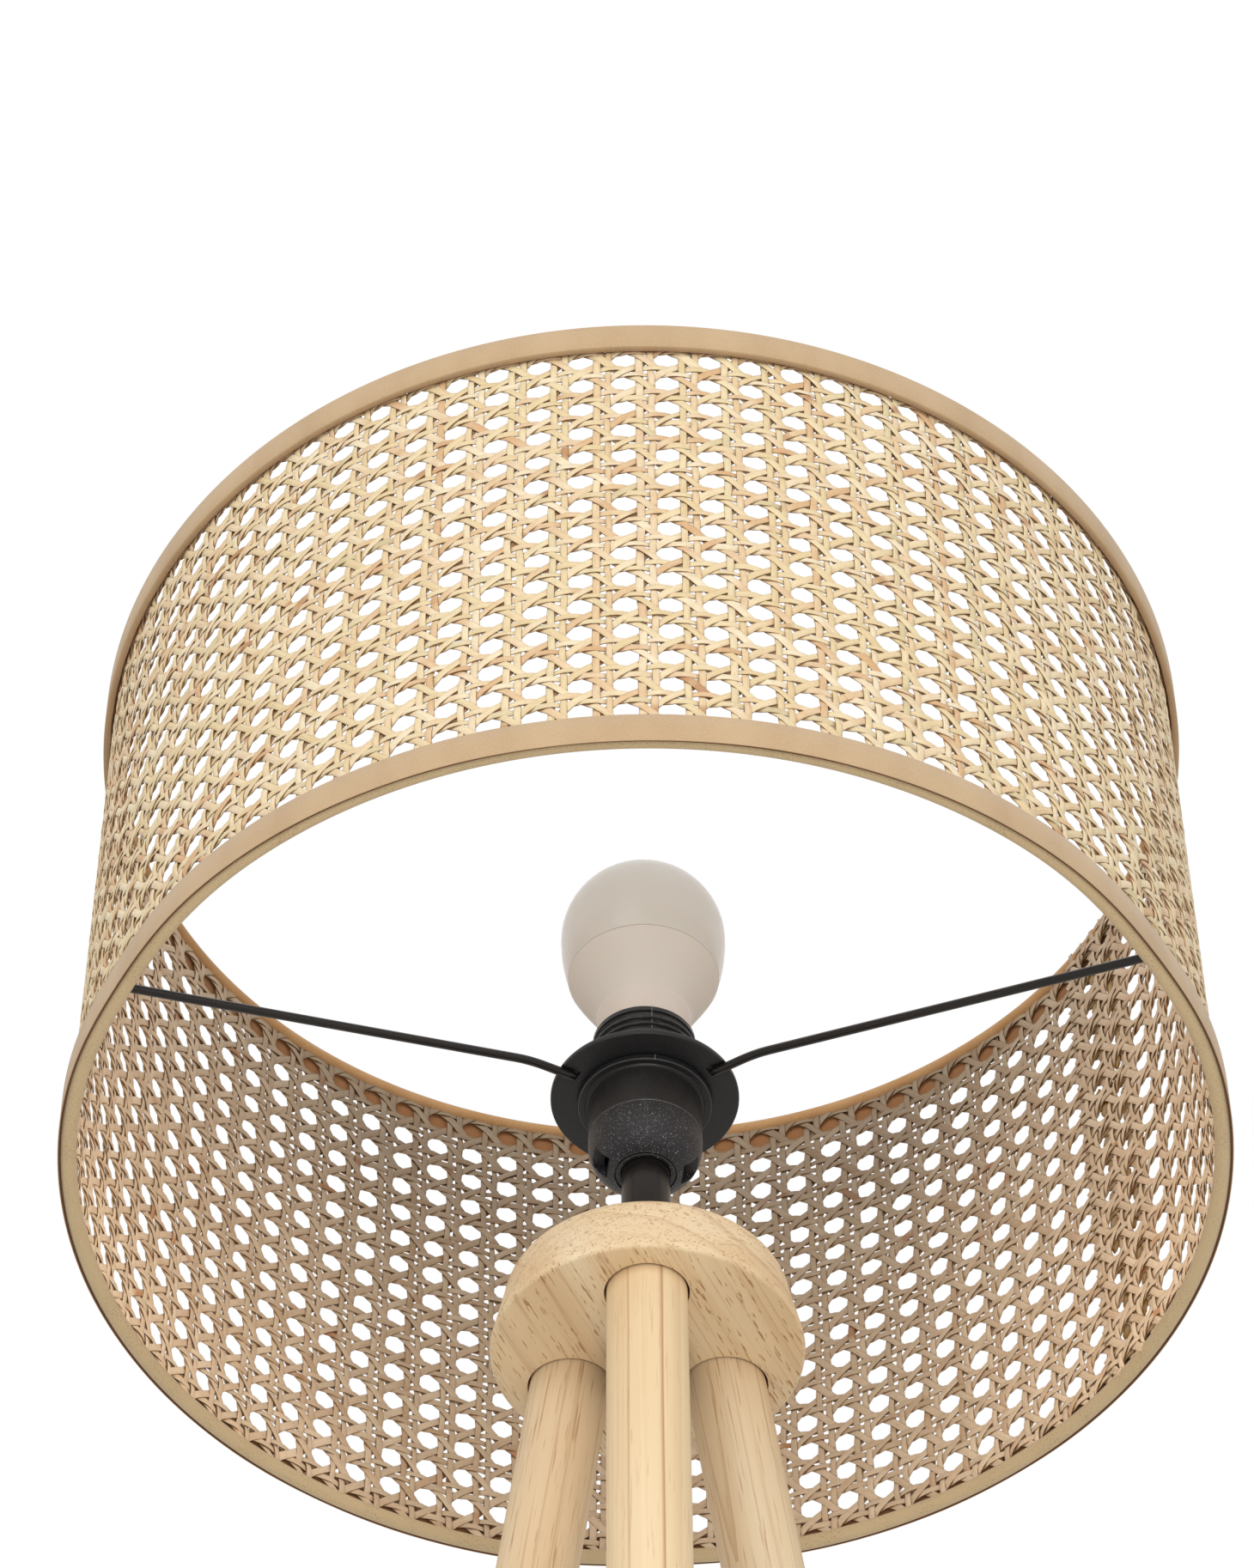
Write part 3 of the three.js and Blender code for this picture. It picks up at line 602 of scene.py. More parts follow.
def strandMesh(column, row, offset, firstNumber, kind):
    # column, row and offset are arrays of strands by samples; offset is how far out a strand runs
    look = weave
    number = firstNumber + np.arange(len(column))
    width = look["widths"][kind] / 2 * mm * (1 + draw.normal(0, look["widthSpread"], (len(column), 1)))
    stray = smoothNoise(*column.shape, look["wander"] * mm)
    angle = columnAngle(column) + (0 if kind == "round" else stray / shadeRadius)
    height = rowHeight(row, angle) + (stray if kind == "round" else 0)
    lapped = smoothStep(np.clip(column - look["lapStart"], 0, 1))
    place = shadeRadius - (look["inset"] + look["lapInset"] * lapped) * mm
    place = place - rimPull(angle) * np.exp((rimZ - height) / mm / look["pullFade"])
    centre = aboutShade(place + offset * look["relief"] * mm, angle, height)
    outward = np.stack([np.sin(angle), -np.cos(angle), 0 * angle], 2)
    tangent = unit(np.gradient(centre, axis=1))
    across = unit(np.cross(tangent, outward))
    normal = np.cross(across, tangent)
    tilted = across + normal * smoothNoise(*angle.shape, look["tilt"])[..., None]
    share = np.array(sectionShares)
    points = (centre[:, :, None] + tilted[:, :, None] * share[:, :1] * width[..., None, None]
              + normal[:, :, None] * (share[:, 1:] * look["strandThickness"] * mm))
    step = np.linalg.norm(np.diff(centre, axis=1), axis=2)
    along = np.concatenate([np.zeros((len(angle), 1)), np.cumsum(step, 1)], 1) / mm
    strands, samples, sides = points.shape[:3]
    faces = []
    for i in range(strands):
        faces += tubeFaces(samples, sides, i * samples * sides)
    return points.reshape(-1, 3), faces, {
        "strand": perPoint(along[:, :, None], share[:, 0], number[:, None, None]),
        "side": perPoint(share[:, 1] < -0.3, offset[..., None], insidePaintedLight(angle, height)[..., None]),
    }


def overUnder(phase):
    # two over, two under, with flattened tops
    s = np.sin(phase)
    return s * (1.5 - 0.5 * s * s)


def risingStrands(sign, lean, firstNumber):
    # uprights when lean is 0, diagonals when it is the sign: columns gained per row
    look = weave
    first, last = look["stripEnds"]
    spare = look["rows"] + 1  # columns beyond the strip, from which a diagonal may come in
    starts = np.arange(floor(first) - spare, ceil(last) + spare) + 0.5
    starts = starts + (0 if lean else sign * look["pairShare"])
    low, high = np.zeros(len(starts)) + look["lowEnd"], np.full(len(starts), float(look["rows"]))
    for _ in range(4):
        rise, pitch = rowSizes(columnAngle(starts + lean * high))
        high = (shadeTop - look["topEdge"] * mm - rimZ - rise) / pitch
    if lean:
        ends = np.sort(np.stack([(first - starts) / lean, (last - starts) / lean]), axis=0)
        low, high = np.maximum(low, ends[0]), np.minimum(high, ends[1])
        keep = high - low > 0.4
    else:
        keep = (starts > first + 0.1) & (starts < last - 0.1)
    starts, low, high = starts[keep], low[keep], high[keep]
    row = low[:, None] + (high - low)[:, None] * np.linspace(0, 1, look["rows"] * look["samples"])
    column = starts[:, None] + lean * row
    if lean:
        offset = -sign * overUnder(tau * (column - 0.25))
        swing = look["swing"] * np.sin(tau * row) * np.clip((high[:, None] - row) * 3, 0, 1)
        row, column = row + swing, column - lean * swing
    else:
        offset = overUnder(-sign * tau * (row - 0.5))
    return strandMesh(column, row, offset, firstNumber, "diagonal" if lean else "upright")


def roundStrands(sign, firstNumber):
    look = weave
    rows = np.arange(0, look["rows"]) + 0.5 + sign * look["pairShare"]
    first, last = look["stripEnds"]
    samples = int((last - first) * look["samples"])
    column = first + (last - first) * np.linspace(0, 1, samples)[None, :] + 0 * rows[:, None]
    column = column + draw.normal(0, 0.06, (len(rows), 1)) * (np.abs(column - first) < 0.5)
    offset = overUnder(sign * tau * (column - 0.5))
    return strandMesh(column, rows[:, None] + 0 * column, offset, firstNumber, "round")


def makeWebbing():
    sets = {
        "webbingUprightsFirst": risingStrands(-1, 0, 0),
        "webbingUprightsSecond": risingStrands(1, 0, 150),
        "webbingRoundsFirst": roundStrands(1, 300),
        "webbingRoundsSecond": roundStrands(-1, 350),
        "webbingDiagonalsRising": risingStrands(1, 1, 400),
        "webbingDiagonalsFalling": risingStrands(-1, -1, 600),
    }
    for name, (vertices, faces, attributes) in sets.items():
        addPiece(name, vertices, faces, cane, "cane_webbing", attributes=attributes)


drops = {"columns": (-57.3, -56.35), "spread": 0.12, "tall": (2.6, 4.4), "wide": (1.8, 3.0), "lumps": 0.09,
         "depth": 0.55, "inset": 1.0}


def makeGlue():
    # dried drops between the webbing's overlapping ends
    look = drops
    rows, columns = np.meshgrid(np.arange(1, weave["rows"] - 1), look["columns"], indexing="ij")
    rows = rows.ravel() + draw.normal(0, look["spread"], rows.size)
    columns = columns.ravel() + draw.normal(0, look["spread"], columns.size)
    polar, turn = np.linspace(0.02, pi - 0.02, 9), stepsRound(14)
    vertices, faces = [], []
    for row, column in zip(rows, columns):
        angle = columnAngle(column)
        middle = shadeRadius - (weave["inset"] + look["inset"]) * mm
        tall, wide = draw.uniform(*look["tall"]) * mm, draw.uniform(*look["wide"]) * mm
        lump = 1 + draw.normal(0, look["lumps"], (len(polar), len(turn)))
        up = np.cos(polar)[:, None] * tall * lump
        side = np.sin(polar)[:, None] * np.cos(turn) * wide * lump
        radius = middle + np.sin(polar)[:, None] * np.sin(turn) * look["depth"] * mm
        points = aboutShade(radius, angle + side / middle, rowHeight(row, angle) + up)
        faces += tubeFaces(len(polar), len(turn), len(vertices))
        vertices += points.reshape(-1, 3).tolist()
    addPiece("webbingGlue", vertices, faces, glue, "cane_webbing")


makeWebbing()
makeGlue()
print("webbing woven")


# Tape round the rims, and the wire rings in their wrapping
rims = {
    "sides": 256,
    "bottomWidth": 13.5,
    "thickness": 0.4,
    "padding": 2.6,  # tape and what fills it, at its edge over the webbing
    "edge": 0.3,
    "wave": 0.25,
    "rollWidth": 6.1,
    "rollHeight": 5.2,
    "rollSides": 20,
    "bottomRise": (2.525, 1.35, 0.325),  # wrapped ring's middle above the rim: mean, then its waves
    "grooveShadowWidth": 0.55,
}


def bandPiece(name, section, material, solid, lift=0.0):
    # section of (radius, height, rib, inner face) rows turned into a closed ring with a ribbon attribute;
    # lift holds what is added to the heights round the ring
    section = np.asarray(section, float)
    angle = stepsRound(rims["sides"])
    low = section[:, 1].mean() < rimZ + 0.1
    radius = section[:, 0][None] - (rimPull(angle)[:, None] if low else 0)
    height = section[:, 1] + np.reshape(lift, (-1, 1))
    vertices = aboutShade(radius, angle[:, None], height).reshape(-1, 3)
    along = np.minimum(angle, tau - angle)[:, None] * shadeRadius / mm
    piece = addPiece(name, vertices, gridFaces(len(angle), len(section), True, True), material, solid,
                     attributes={"rib": perPoint(along, section[:, 2], section[:, 3])})
    piece.data.set_sharp_from_angle(angle=radians(50))


def tapeSection(free, bound):
    # from the free edge over the webbing to the edge bound on the ring, either way up
    outer, thin, edge, padding = shadeRadius, *(rims[k] * mm for k in ("thickness", "edge", "padding"))
    way = 1 if bound > free else -1
    corners = [(outer - padding, free + way * edge, 1), (outer - padding + edge, free, 0.4),
               (outer - edge, free, 0), (outer, free + way * edge, 0), (outer, (free + bound) / 2, 0),
               (outer, bound - way * edge, 0), (outer - 0.1 * mm, bound, 0), (outer - thin, bound, 1),
               (outer - thin, free + way * 8.5 * mm, 1), (outer - padding, free + way * 7 * mm, 1)]
    return [(r, z, abs(z - free) / mm, inner) for r, z, inner in corners]


def rollSection(centre):
    wide, tall = rims["rollWidth"] / 2 * mm, rims["rollHeight"] / 2 * mm
    middle = shadeRadius - 0.6 * mm - wide
    return [(middle + wide * cos(a), centre + tall * sin(a), 1000 * tall * a, 0)
            for a in stepsRound(rims["rollSides"])]


def makeRims():
    angle = stepsRound(rims["sides"])
    wave = sum(np.sin(k * angle + draw.uniform(0, 6.3)) / k ** 0.5 for k in (5, 9, 14, 23)) * rims["wave"] * mm
    free = rimZ + rims["bottomWidth"] * mm
    bandPiece("bottomTape", tapeSection(free, rimZ), tape, "bottom_trim_tape", wave * 0.7)
    topLow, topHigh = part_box("top_trim_tape")
    bandPiece("topTape", tapeSection(topLow.z, topHigh.z), tape, "top_trim_tape")
    mean, first, second = rims["bottomRise"]
    lift = (mean + first * np.cos(angle) + second * np.cos(2 * angle)) * mm
    bandPiece("bottomWrappedRing", rollSection(rimZ), wrap, "bottom_wire_ring", lift)
    low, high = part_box("top_wire_ring")
    bandPiece("topWrappedRing", rollSection((low.z + high.z) / 2), topWrap, "top_wire_ring")
    # painted shadow: a thin dark ring in the groove between the bottom tape's edge and the wrapped ring
    outer = shadeRadius - rims["thickness"] * mm - 0.02 * mm
    inner = outer - rims["grooveShadowWidth"] * mm
    corners = [(inner, 0.3), (outer, 0.2), (outer, 1.6), (inner, 1.6)]
    bandPiece("bottomGrooveShadow", [(r, rimZ + z * mm, 0, 0) for r, z in corners], grooveShadow, "bottom_trim_tape")


makeRims()
print("rims bound")


# Wire arms
arms = {"diameter": 3.3, "bendRadius": 47, "bendReach": 6, "startRadius": 28.5, "sides": 20, "chamfer": 0.35}


def makeArm(side, direction):
    look = arms
    radius = look["diameter"] / 2 * mm
    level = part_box("spider_arm_" + side)[1].z - radius
    ringLow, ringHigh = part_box("bottom_wire_ring")
    rollRadius = (ringHigh.z - ringLow.z) / 2
    outward = outwardFrom(direction)[0]
    start = np.array([axisX, axisY, level]) + outward * look["startRadius"] * mm
    corner = np.array([axisX, axisY, level]) + outward * look["bendRadius"] * mm
    ringMiddle = np.array([axisX, axisY, (ringLow.z + ringHigh.z) / 2])
    end = ringMiddle + outward * ((ringHigh.x - ringLow.x) / 2 - rollRadius)
    slope = unit(end - corner)
    end = end - slope * (rollRadius + 0.1 * mm)
    reach = look["bendReach"] * mm
    bendStart, bendEnd = corner - outward * reach, corner + slope * reach
    path = [start, start + outward * look["chamfer"] * mm]
    path += [start + (bendStart - start) * t for t in np.linspace(0, 1, 5)[1:]]
    path += [bend(bendStart, corner, bendEnd, t) for t in np.linspace(0, 1, 9)[1:]]
    path += [bendEnd + (end - bendEnd) * t for t in np.linspace(0, 1, 12)[1:]]
    tangent = unit(np.gradient(np.array(path), axis=0))
    across = unit(np.cross(tangent, [0, 0, 1]))
    up = np.cross(across, tangent)
    angle = stepsRound(look["sides"])[None, :, None]
    radii = np.full((len(path), 1, 1), radius)
    radii[0] *= 0.85
    vertices = np.array(path)[:, None] + (np.cos(angle) * across[:, None] + np.sin(angle) * up[:, None]) * radii
    addPiece("wireArm" + side.capitalize(), vertices.reshape(-1, 3), tubeFaces(len(path), look["sides"]),
             blackSteel, "spider_arm_" + side, flat=40)


for side, direction in armDirections.items():
    makeArm(side, direction)
print("arms bent")


# Lampholder, its plate and its locking ring
holder = {
    "crest": 19.3, "threadPitch": 3.2, "threadDepth": 0.95, "mouthBand": 2.4, "bore": 16.7, "skirt": 18.5,
    "collar": (40.4, 43.0, 24.5),  # bottom and top above the shade's rim, and radius
    "seamDirection": -81,  # mould seam, from +X
    "seamWidth": 0.45, "seamHeight": 0.16, "lip": 10.3, "capHole": 9.1, "plateHole": 19.6, "stemBore": 7.3,
    "slotDirections": (8, 188),
    "slot": (13.4, 24, 9.6, 0.8, 7),  # reach from and to, width, and heights from the cap's bottom
    "notch": (27.4, 37, 4.4, -2, 1.25),  # the same in the plate
}
lockingRing = {"teeth": 24, "toothDepth": 0.8, "hole": 19.6, "rows": [(0, 0.5), (0.5, 0), (-0.5, 0), (0, 0.5)]}


def thinRing(name, radius, height, width, *finish):
    # a fine ring of square section with its middle at the radius and height, in millimetres
    half = width / 2
    outline = sleeve(radius - half, radius + half, height - half, height + half)
    turnedPiece(name, outline, *finish, sides=144)


def makeMouldSeam(name, profile):
    # a fine upright ridge along a profile of (radius, height above the shade's rim) in millimetres
    outward, aside = outwardFrom(radians(holder["seamDirection"]))
    aside = aside * holder["seamWidth"] / 2 * mm
    vertices = []
    for radius, height in profile:
        inner, outer = (np.array([axisX, axisY, rimZ]) + outward * (radius + reach) * mm + [0, 0, height * mm]
                        for reach in (-0.4, holder["seamHeight"]))
        vertices += [inner - aside, inner + aside, outer + aside * 0.5, outer - aside * 0.5]
    # the ridge is drawn in a light grey as a painted highlight
    addPiece(name, vertices, tubeFaces(len(profile), 4), seamHighlight, "holder_shell", flat=35)


def slotTools(directions, bottom, sizes):
    # upright-sided boxes that reach out along directions
    inner, outer, width, low, high = (v * mm for v in sizes)
    tools = []
    for direction in directions:
        outward, aside = outwardFrom(direction)
        corners = [np.array([axisX, axisY, bottom + z]) + outward * reach + aside * side * width / 2
                   for z in (low, high) for reach, side in ((inner, -1), (inner, 1), (outer, 1), (outer, -1))]
        faces = [[0, 1, 2, 3], [4, 5, 6, 7], [0, 1, 5, 4], [1, 2, 6, 5], [2, 3, 7, 6], [3, 0, 4, 7]]
        tools.append(toolPiece("slot", corners, faces))
    return tools


def makePlate():
    bottom, top, radius = solidSizes("fitter_plate")
    outline = rounded(sleeve(holder["plateHole"], radius, bottom, top), 0.6)
    piece = turnedPiece("shadePlate", outline, blackPlastic, "black_plastic", "fitter_plate")
    cutPiece(piece, slotTools(armDirections.values(), bottom * mm, holder["notch"]), 30)


def makeBarrel():
    # threaded barrel, collar and body in one, with the thread as a helix in the mesh
    look = holder
    low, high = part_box("holder_shell")
    mouth, bottom = (high.z - rimZ) / mm, (low.z - rimZ) / mm
    crest, bore, skirt = look["crest"], look["bore"], look["skirt"]
    root, band = crest - look["threadDepth"], mouth - look["mouthBand"]
    collarLow, collarHigh, collar = look["collar"]
    rows = [(bore, mouth - 4), (bore, mouth - 0.4), (bore + 0.4, mouth), (root + 0.3, mouth),
            (root + 0.6, mouth - 0.3), (root + 0.6, band + 0.2), (root, band)]
    sides = 144
    for z in np.arange(collarHigh + 1.2, band, 0.25)[::-1]:
        turn = (z / look["threadPitch"] - stepsRound(sides) / tau) % 1
        ridge = np.clip((0.24 - np.abs(turn - 0.5)) / 0.1, 0, 1)
        rows.append((root + (crest - root) * ridge * np.clip((band - 0.5 - z) / 1.5, 0, 1), z))
    rows += [(crest, collarHigh + 0.2), (crest + 0.2, collarHigh), (collar - 0.4, collarHigh),
             (collar, collarHigh - 0.4), (collar, collarLow + 0.4), (collar - 0.4, collarLow), (22.0, collarLow),
             (21.6, collarLow - 0.5), (21.5, collarLow - 0.9), (20.7, collarLow - 1.1), (20.7, bottom + 0.3),
             (20.4, bottom), (skirt, bottom), (skirt, collarLow - 2), (bore, collarLow)]
    shapedRing("holderBarrel", rows, sides, blackPlastic, "holder_shell", flat=32, base=rimZ)
    makeMouldSeam("barrelSeam", [(root + 0.6, mouth - 0.2), (root + 0.6, band + 0.3), (root + 0.1, band),
                                 (root + 0.1, collarHigh)])
    makeMouldSeam("collarSeam", [(collar, collarHigh - 0.4), (collar, collarLow + 0.4),
                                 (collar - 0.3, collarLow)])
    height = rimZ / mm + collarLow + 0.02
    # painted highlight along the collar's lower edge
    thinRing("collarHighlight", collar - 0.3, height, 0.16, dimEdgeHighlight, "black_plastic", "holder_shell")


def makeCap():
    bottom, top, outer = solidSizes("holder_cap")
    hole, lip = holder["capHole"], holder["lip"]
    dome = top - bottom - 3.2
    outline = [(hole, bottom + 2.8), (hole, bottom + 0.1), (lip, bottom + 0.1), (lip, bottom + 0.7),
               (11.2, bottom + 0.7), (11.4, bottom), (11.8, bottom + 0.3)]
    for angle in np.linspace(-pi / 2, 0, 27):
        radius = 9 + (outer - 9) * cos(angle)
        if radius > 11.5:
            outline.append((radius, bottom + dome + dome * sin(angle)))
    outline += [(outer, top - 0.2), (outer - 0.3, top), (outer - 2, top), (outer - 2, bottom + dome),
                (outer - 4, bottom + 9), (outer - 8, bottom + 5), (hole, bottom + 2.8)]
    piece = turnedPiece("holderCap", outline, grainedPlastic, "black_plastic", "holder_cap", sides=144)
    cutPiece(piece, slotTools(np.radians(holder["slotDirections"]), bottom * mm, holder["slot"]), 30)
    # painted highlights along the cap's top edge and round its lip
    thinRing("capEdgeHighlight", outer - 0.08, top - 0.1, 0.18, seamHighlight, "black_plastic", "holder_cap")
    thinRing("lipHighlight", lip, bottom + 0.12, 0.24, dimEdgeHighlight, "black_plastic", "holder_cap")


def makeStem():
    bottom, top, outer = solidSizes("stem_tube")
    outline = rounded(sleeve(holder["stemBore"], outer, bottom, top), 0.4)
    turnedPiece("stemTube", outline, blackSteel, "black_steel", "stem_tube")


makePlate()
makeBarrel()
makeCap()
knurledRing("lockingRing", "locking_ring", lockingRing, "ring")
makeStem()
print("holder made")


# Hub and legs
hubLook = {"bore": 5.2, "shoulder": 50.2, "topRound": 8, "rimRound": 1.6, "grainTurn": 67,
           "socketDrill": 14.7, "socketReach": (14, 30)}
legLook = {"radius": 13.9, "sides": 72, "rings": 60, "splay": 9.3, "socketRadius": 31.3, "socketDepth": 13.7,
           "piths": {"front": (-55.5, 12), "right": (37, 42), "left": (-10, 55)}}  # tree's, off the leg's axis
legDirections = {"front": -90, "right": 30, "left": 150}


def setGrain(piece, origin, axis, spin=0.0):
    # the grain attribute holds coordinates across, across and along an axis
    places = np.empty(len(piece.data.vertices) * 3, np.float32)
    piece.data.vertices.foreach_get("co", places)
    axis = unit(np.array(axis, float))
    side = unit(np.cross(axis, [0, 0, 1] if abs(axis[2]) < 0.9 else [0, 1, 0]))
    offset = places.reshape(-1, 3).astype(float) - np.asarray(origin)
    a, b = offset @ side, offset @ np.cross(axis, side)
    c, s = cos(spin), sin(spin)
    grain = np.stack([a * c - b * s, a * s + b * c, offset @ axis], 1)
    layer = piece.data.attributes.new("grain", "FLOAT_VECTOR", "POINT")
    layer.data.foreach_set("vector", grain.astype(np.float32).ravel())


def legFrame(direction):
    # where a leg's axis meets the hub's underside, and its direction downwards
    outward = outwardFrom(radians(direction))[0]
    splay = radians(legLook["splay"])
    seat = np.array([axisX, axisY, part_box("hub")[0].z]) + outward * legLook["socketRadius"] * mm
    return seat, outward * sin(splay) + np.array([0, 0, -cos(splay)])


def ringAcross(axis, sides):
    # unit circle square to an axis
    side = unit(np.cross(axis, [0, 0, 1]))
    angle = stepsRound(sides)[:, None]
    return np.cos(angle) * side + np.sin(angle) * np.cross(axis, side)


def makeHub():
    look = hubLook
    bottom, top, rim = solidSizes("hub")
    shoulder, topRound, rimRound = look["shoulder"], look["topRound"], look["rimRound"]
    outline = [(r, bottom) for r in (look["bore"], 12, 20, 28, 36, 44, rim - rimRound)]
    turns = np.linspace(0, pi / 2, 5)[1:]
    outline += [(rim - rimRound * (1 - sin(a)), bottom + rimRound * (1 - cos(a))) for a in turns]
    start, end = np.array([rim, bottom + rimRound]), np.array([shoulder, top - topRound])
    outline += [tuple(start + (end - start) * t) for t in np.linspace(0, 1, 8)[1:-1]]
    inner, turns = shoulder - topRound, np.linspace(0, pi / 2, 9)
    outline += [(inner + topRound * cos(a), end[1] + topRound * sin(a)) for a in turns]
    outline += [(r, top) for r in (36, 28, 20, 12, look["bore"])]
    piece = turnedPiece("woodHub", outline + outline[:1], hubWood, "wood", "hub", sides=160)
    tools = []
    for direction in legDirections.values():
        seat, down = legFrame(direction)
        up, under = (reach * mm for reach in look["socketReach"])
        ring = ringAcross(down, 72) * look["socketDrill"] * mm
        tools.append(toolPiece("socket", np.concatenate([seat - down * up + ring, seat + down * under + ring]),
                               tubeFaces(2, 72)))
    cutPiece(piece, tools, 35)
    turn = radians(look["grainTurn"])
    setGrain(piece, (axisX + 0.004, axisY, bottom * mm - 0.042), (cos(turn), sin(turn), 0))


def makeLeg(name, direction, spin):
    look = legLook
    seat, down = legFrame(direction)
    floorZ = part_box("leg_" + name)[0].z
    topEnd = seat - down * look["socketDepth"] * mm
    ring = ringAcross(down, look["sides"])
    length = (topEnd[2] - floorZ) / -down[2]
    wide, narrow, thin = (topEnd + ring * (look["radius"] - inset) * mm for inset in (0, 0.5, 0.6))
    rows = [narrow]
    rows += [wide + down * (0.5 * mm + (length - 20 * mm) * t) for t in np.linspace(0, 1, look["rings"])[:-1]]
    rows.append(wide + down * ((wide[:, 2] - floorZ) / -down[2] - 0.6 * mm)[:, None])
    rows.append(thin + down * ((thin[:, 2] - floorZ) / -down[2])[:, None])
    # the side legs take the wood whose tint is darkened as painted shade
    wood = legWood if name == "front" else legWoodPaintedShade
    piece = addPiece("woodLeg" + name.capitalize(), np.stack(rows).reshape(-1, 3),
                     tubeFaces(len(rows), look["sides"]), wood, "leg_" + name, flat=40)
    pith = np.array([*look["piths"][name], 0]) * mm
    setGrain(piece, topEnd + pith + down * spin * 0.7, down, spin)


makeHub()
for index, (name, direction) in enumerate(legDirections.items()):
    makeLeg(name, direction, 1.3 * index + 0.4)
print("hub and legs turned")


# Bulb
bulb = {"wall": 1.6, "stretch": 1.66, "partingDrop": 21, "neck": 17.5, "neckRun": 11.7, "foot": (9, 11.8),
        "flareShares": [(0.1, 0.22), (0.35, 0.4)],  # how far the flare's curve follows its ends, out and up
        "lip": 0.12, "capThread": (3.629, 0.9, 0.375)}  # pitch, depth, step


def makeBulb():
    # the lower half of the globe is taller than the upper one, down to the joint with the housing
    look = bulb
    top, outer = solidSizes("bulb_globe")[1:]
    centre = top - outer
    tall = outer * look["stretch"]
    joint = -asin(look["partingDrop"] / tall)
    wall, lip = look["wall"], look["lip"]
    upper = [(cos(a), sin(a)) for a in np.linspace(pi / 2, 0, 22)]
    lower = [(cos(a), sin(a)) for a in np.linspace(0, joint, 16)[1:]]
    outline = [((outer - wall) * c, centre + (outer - wall) * s) for c, s in upper]
    outline += [(outer * c - wall, centre + tall * s) for c, s in lower]
    rim, edge = outer * cos(joint), outline[-1][1]
    outline += [(rim - 0.45, edge - 0.02), (rim + lip - 0.1, edge + 0.02), (rim + lip, edge + 0.2)]
    outline += [(outer * c, centre + tall * s) for c, s in lower[::-1][1:]]
    outline += [(outer * c, centre + outer * s) for c, s in upper[::-1]]
    turnedPiece("bulbGlobe", [(max(r, 0), z) for r, z in outline], opal, "opal", "bulb_globe", "bulb", flat=45)
    return rim


def makeHousing(rim):
    look = bulb
    bottom, joint = solidSizes("bulb_housing")[:2]
    neck, foot, footWide = look["neck"], *look["foot"]
    lower = bottom + 6
    first, last = np.array([neck, lower + look["neckRun"]]), np.array([rim, joint])
    near, far = (last - first) * look["flareShares"]
    near, far = first + near, last - far
    outline = [(foot, bottom), (footWide, bottom), (footWide, lower), (neck - 0.7, lower), (neck, lower + 0.6)]
    for t in np.linspace(0, 1, 26)[:-1]:
        outline.append(tuple((1 - t) * bend(first, near, far, t) + t * bend(near, far, last, t)))
    outline += [(rim - 0.02, joint - 0.1), (rim - 0.15, joint), (rim - 1.6, joint),
                (neck - look["wall"], first[1]), (foot, lower + 4), (foot, bottom)]
    turnedPiece("bulbHousing", outline, housing, "housing", "bulb_housing", "bulb", flat=50)
    mouth = solidSizes("holder_shell")[1]
    # painted highlight: a thin bright ring round the neck just above the holder's mouth
    thinRing("housingEdgeHighlight", neck + 0.02, mouth + 0.25, 0.5, mouthHighlight, "housing", "bulb_housing", "bulb")


def makeBulbCap():
    # screw cap with its rounded thread as a helix
    bottom, top, crest = solidSizes("bulb_screw_cap")
    pitch, depth, step = bulb["capThread"]
    sides = 96
    rows = []
    for z in np.arange(bottom, top + 0.01, step):
        wave = 0.5 + 0.5 * np.cos(tau * (z / pitch - stepsRound(sides) / tau))
        rows.append((crest - depth * (1 - wave) - (1.5 - min(1.5, z - bottom)), z))
    rows += [(crest - 2.3, top), (crest - 2.6, bottom)]
    shapedRing("bulbScrewCap", rows, sides, zinc, "bulb_screw_cap", "bulb", 40)


makeHousing(makeBulb())
makeBulbCap()
print("bulb made")


# Nut and bush under the hub
handNut = {"teeth": 16, "toothDepth": 0.7, "hole": 5.2, "rows": [(0, 1.2), (1.0, 0), (-0.3, 0), (0, 0.3)]}


def makeBush():
    bottom, top, outer = solidSizes("outlet_bush")
    outline = [(2.6, bottom), (outer - 1.5, bottom), (outer, bottom + 1.5), (outer, bottom + 3),
               (3.4, bottom + 3), (3.4, top), (2.6, top), (2.6, bottom)]
    turnedPiece("outletBush", rounded(outline, 0.8), blackPlastic, "black_plastic", "outlet_bush")


knurledRing("hubNut", "hub_nut", handNut)
makeBush()


# Solids that keep their own shape get their finish
kept = {
    "holder_insert": glaze, "screw_shell": brass, "contact_leaf": brass, "terminal_screw_left": brass,
    "terminal_screw_right": brass, "threaded_pipe": zinc, "bulb_light_board": glaze,
    "bulb_insulator": blackPlastic, "bulb_tip_contact": zinc,
}
for side in legDirections:
    kept |= {"leg_stud_" + side: zinc, "leg_sleeve_nut_" + side: zinc, "foot_pad_" + side: felt}
for name, material in kept.items():
    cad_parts[name].data.materials.clear()
    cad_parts[name].data.materials.append(material)
print("hidden parts finished")


# Floor, lights and background
studio = {
    "floorSize": 12.0,
    "floorSteps": 24,
    "floorColour": linear(226, 224, 220),
    "fill": 0.62,
    "lights": {  # place, what it looks at, size in metres and power
        "keyLight": ((-0.9, -2.4, 2.1), (0, 0, 1.35), 1.6, 26.0),
        "sideLight": ((2.4, -1.2, 1.6), (0, 0, 1.35), 1.4, 9.0),
        "underLight": ((0.2, -1.6, 0.5), (0, 0, 1.3), 0.8, 7.5),
    },
}


def makeFloor():
    steps = studio["floorSteps"]
    line = np.linspace(-0.5, 0.5, steps) * studio["floorSize"]
    x, y = np.meshgrid(line, line, indexing="ij")
    mesh = bpy.data.meshes.new("floor")
    mesh.from_pydata(np.stack([x.ravel(), y.ravel(), 0 * x.ravel()], 1).tolist(), [], gridFaces(steps, steps))
    mesh.materials.append(cloudyMaterial("floorPaint", "floor", studio["floorColour"], {"Roughness": 0.9}))
    link("floor", mesh)


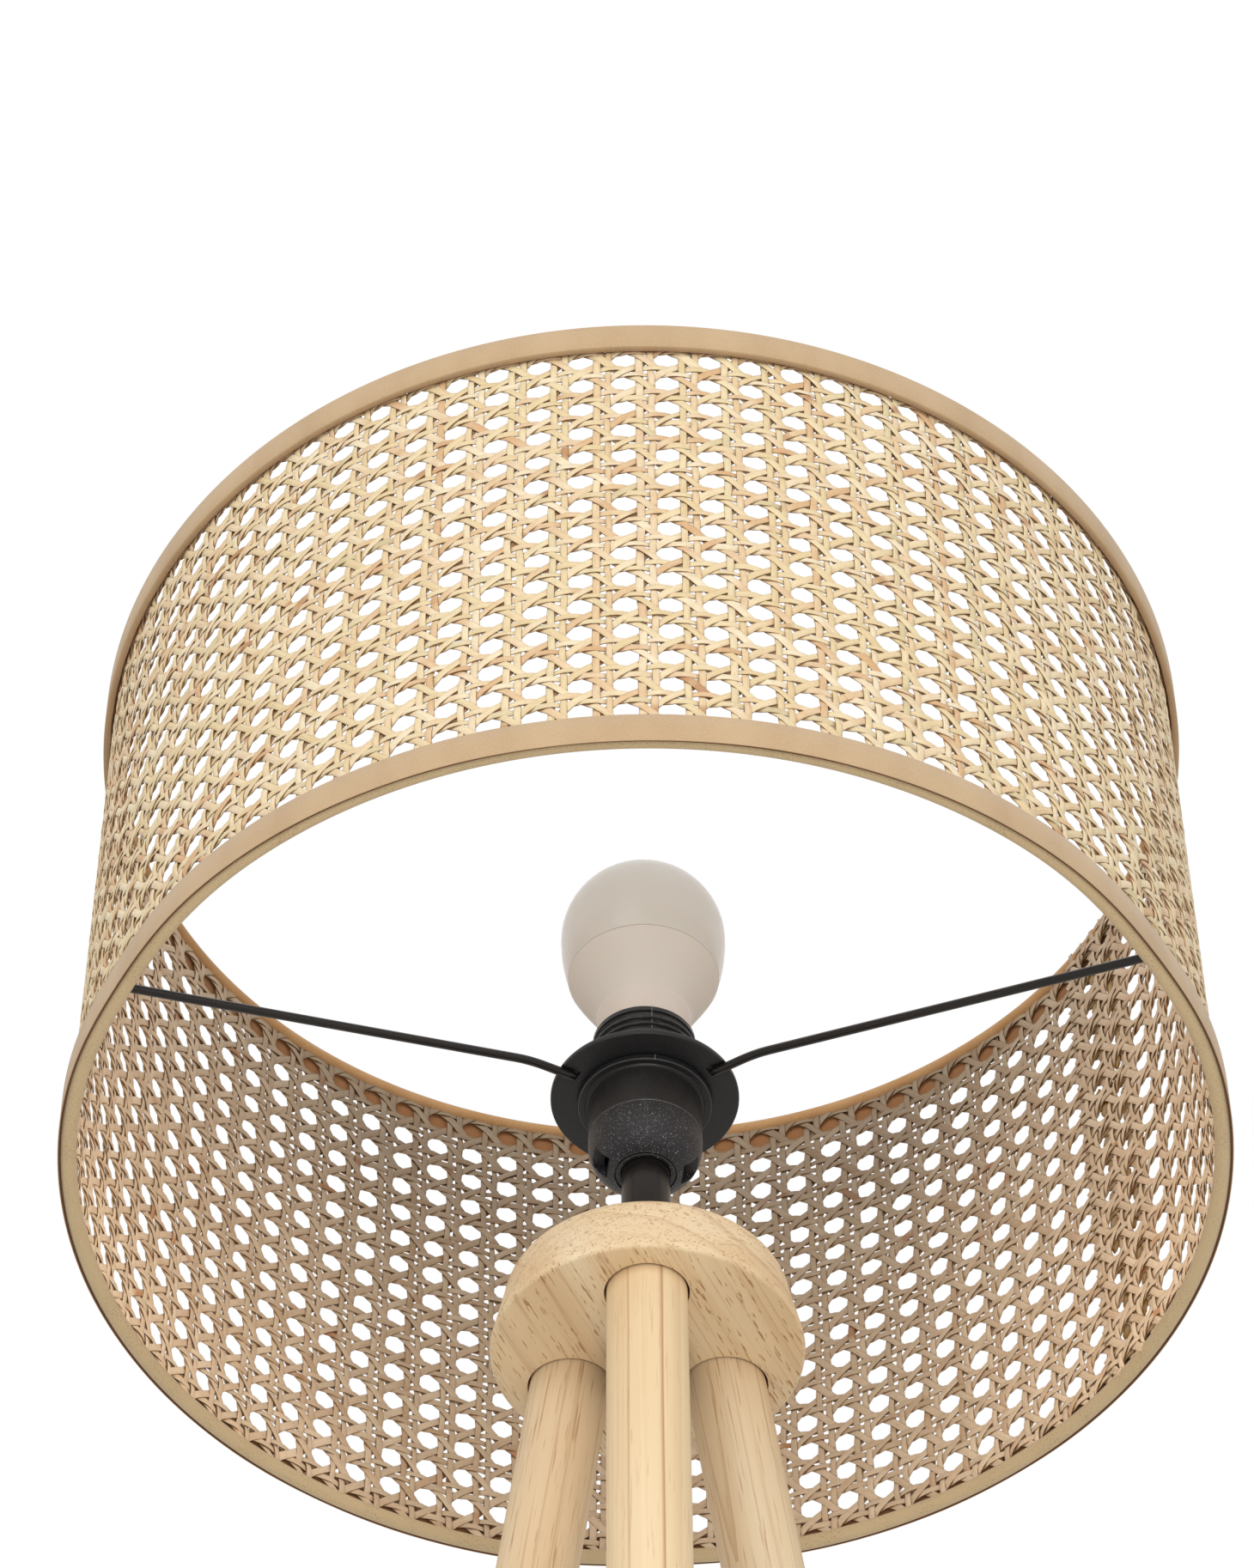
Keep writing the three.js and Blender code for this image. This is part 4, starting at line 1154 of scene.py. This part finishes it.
def makeWorld():
    # the camera and reflections see white, and the lamp is lit by less
    world = bpy.data.worlds.new("studio")
    bpy.context.scene.world = world
    world.use_nodes = True
    background = world.node_tree.nodes["Background"].inputs
    path = node(world.node_tree, "LightPath").outputs
    mirrored = maths("MAXIMUM", path["Is Glossy Ray"], path["Is Transmission Ray"])
    seen = maths("MAXIMUM", path["Is Camera Ray"], mirrored)
    background["Color"].default_value = (1, 1, 1, 1)
    plug(background["Strength"], plus(times(seen, 1 - studio["fill"]), studio["fill"]))


def makeLights():
    for name, (place, target, size, power) in studio["lights"].items():
        light = bpy.data.lights.new(name, "AREA")
        light.size = size
        light.energy = power
        lamp = link(name, light)
        lamp.location = place
        lamp.rotation_euler = (Vector(target) - Vector(place)).to_track_quat("-Z", "Y").to_euler()


camera = {
    "back": 1281.7,  # shade's axis to the camera
    "below": 1258.3,  # shade's lower rim to the camera
    "yaw": -0.25208,
    "pitch": 49.0727,
    "roll": -0.43127,
    "focalPixels": 5823.18,
    "frameHeight": 1826,
    "sensor": 36.0,
}


def makeCamera():
    look = camera
    yaw, pitch, roll = (radians(look[k]) for k in ("yaw", "pitch", "roll"))
    ahead = Vector((sin(yaw) * cos(pitch), cos(yaw) * cos(pitch), sin(pitch)))
    right = ahead.cross(Vector((0, 0, 1))).normalized()
    up = right.cross(ahead)
    rightRolled = right * cos(roll) + up * sin(roll)
    upRolled = up * cos(roll) - right * sin(roll)
    data = bpy.data.cameras.new("camera")
    data.sensor_fit = "VERTICAL"
    data.sensor_height = look["sensor"]
    data.lens = look["focalPixels"] * look["sensor"] / look["frameHeight"]
    data.clip_start = 0.01
    data.clip_end = 100
    made = link("camera", data)
    place = Matrix.Translation((axisX, axisY - look["back"] * mm, rimZ - look["below"] * mm))
    made.matrix_world = place @ Matrix((rightRolled, upRolled, -ahead)).transposed().to_4x4()
    bpy.context.scene.camera = made


makeFloor()
makeWorld()
makeLights()
makeCamera()
bpy.context.scene.view_settings.view_transform = "Standard"
print("studio set")
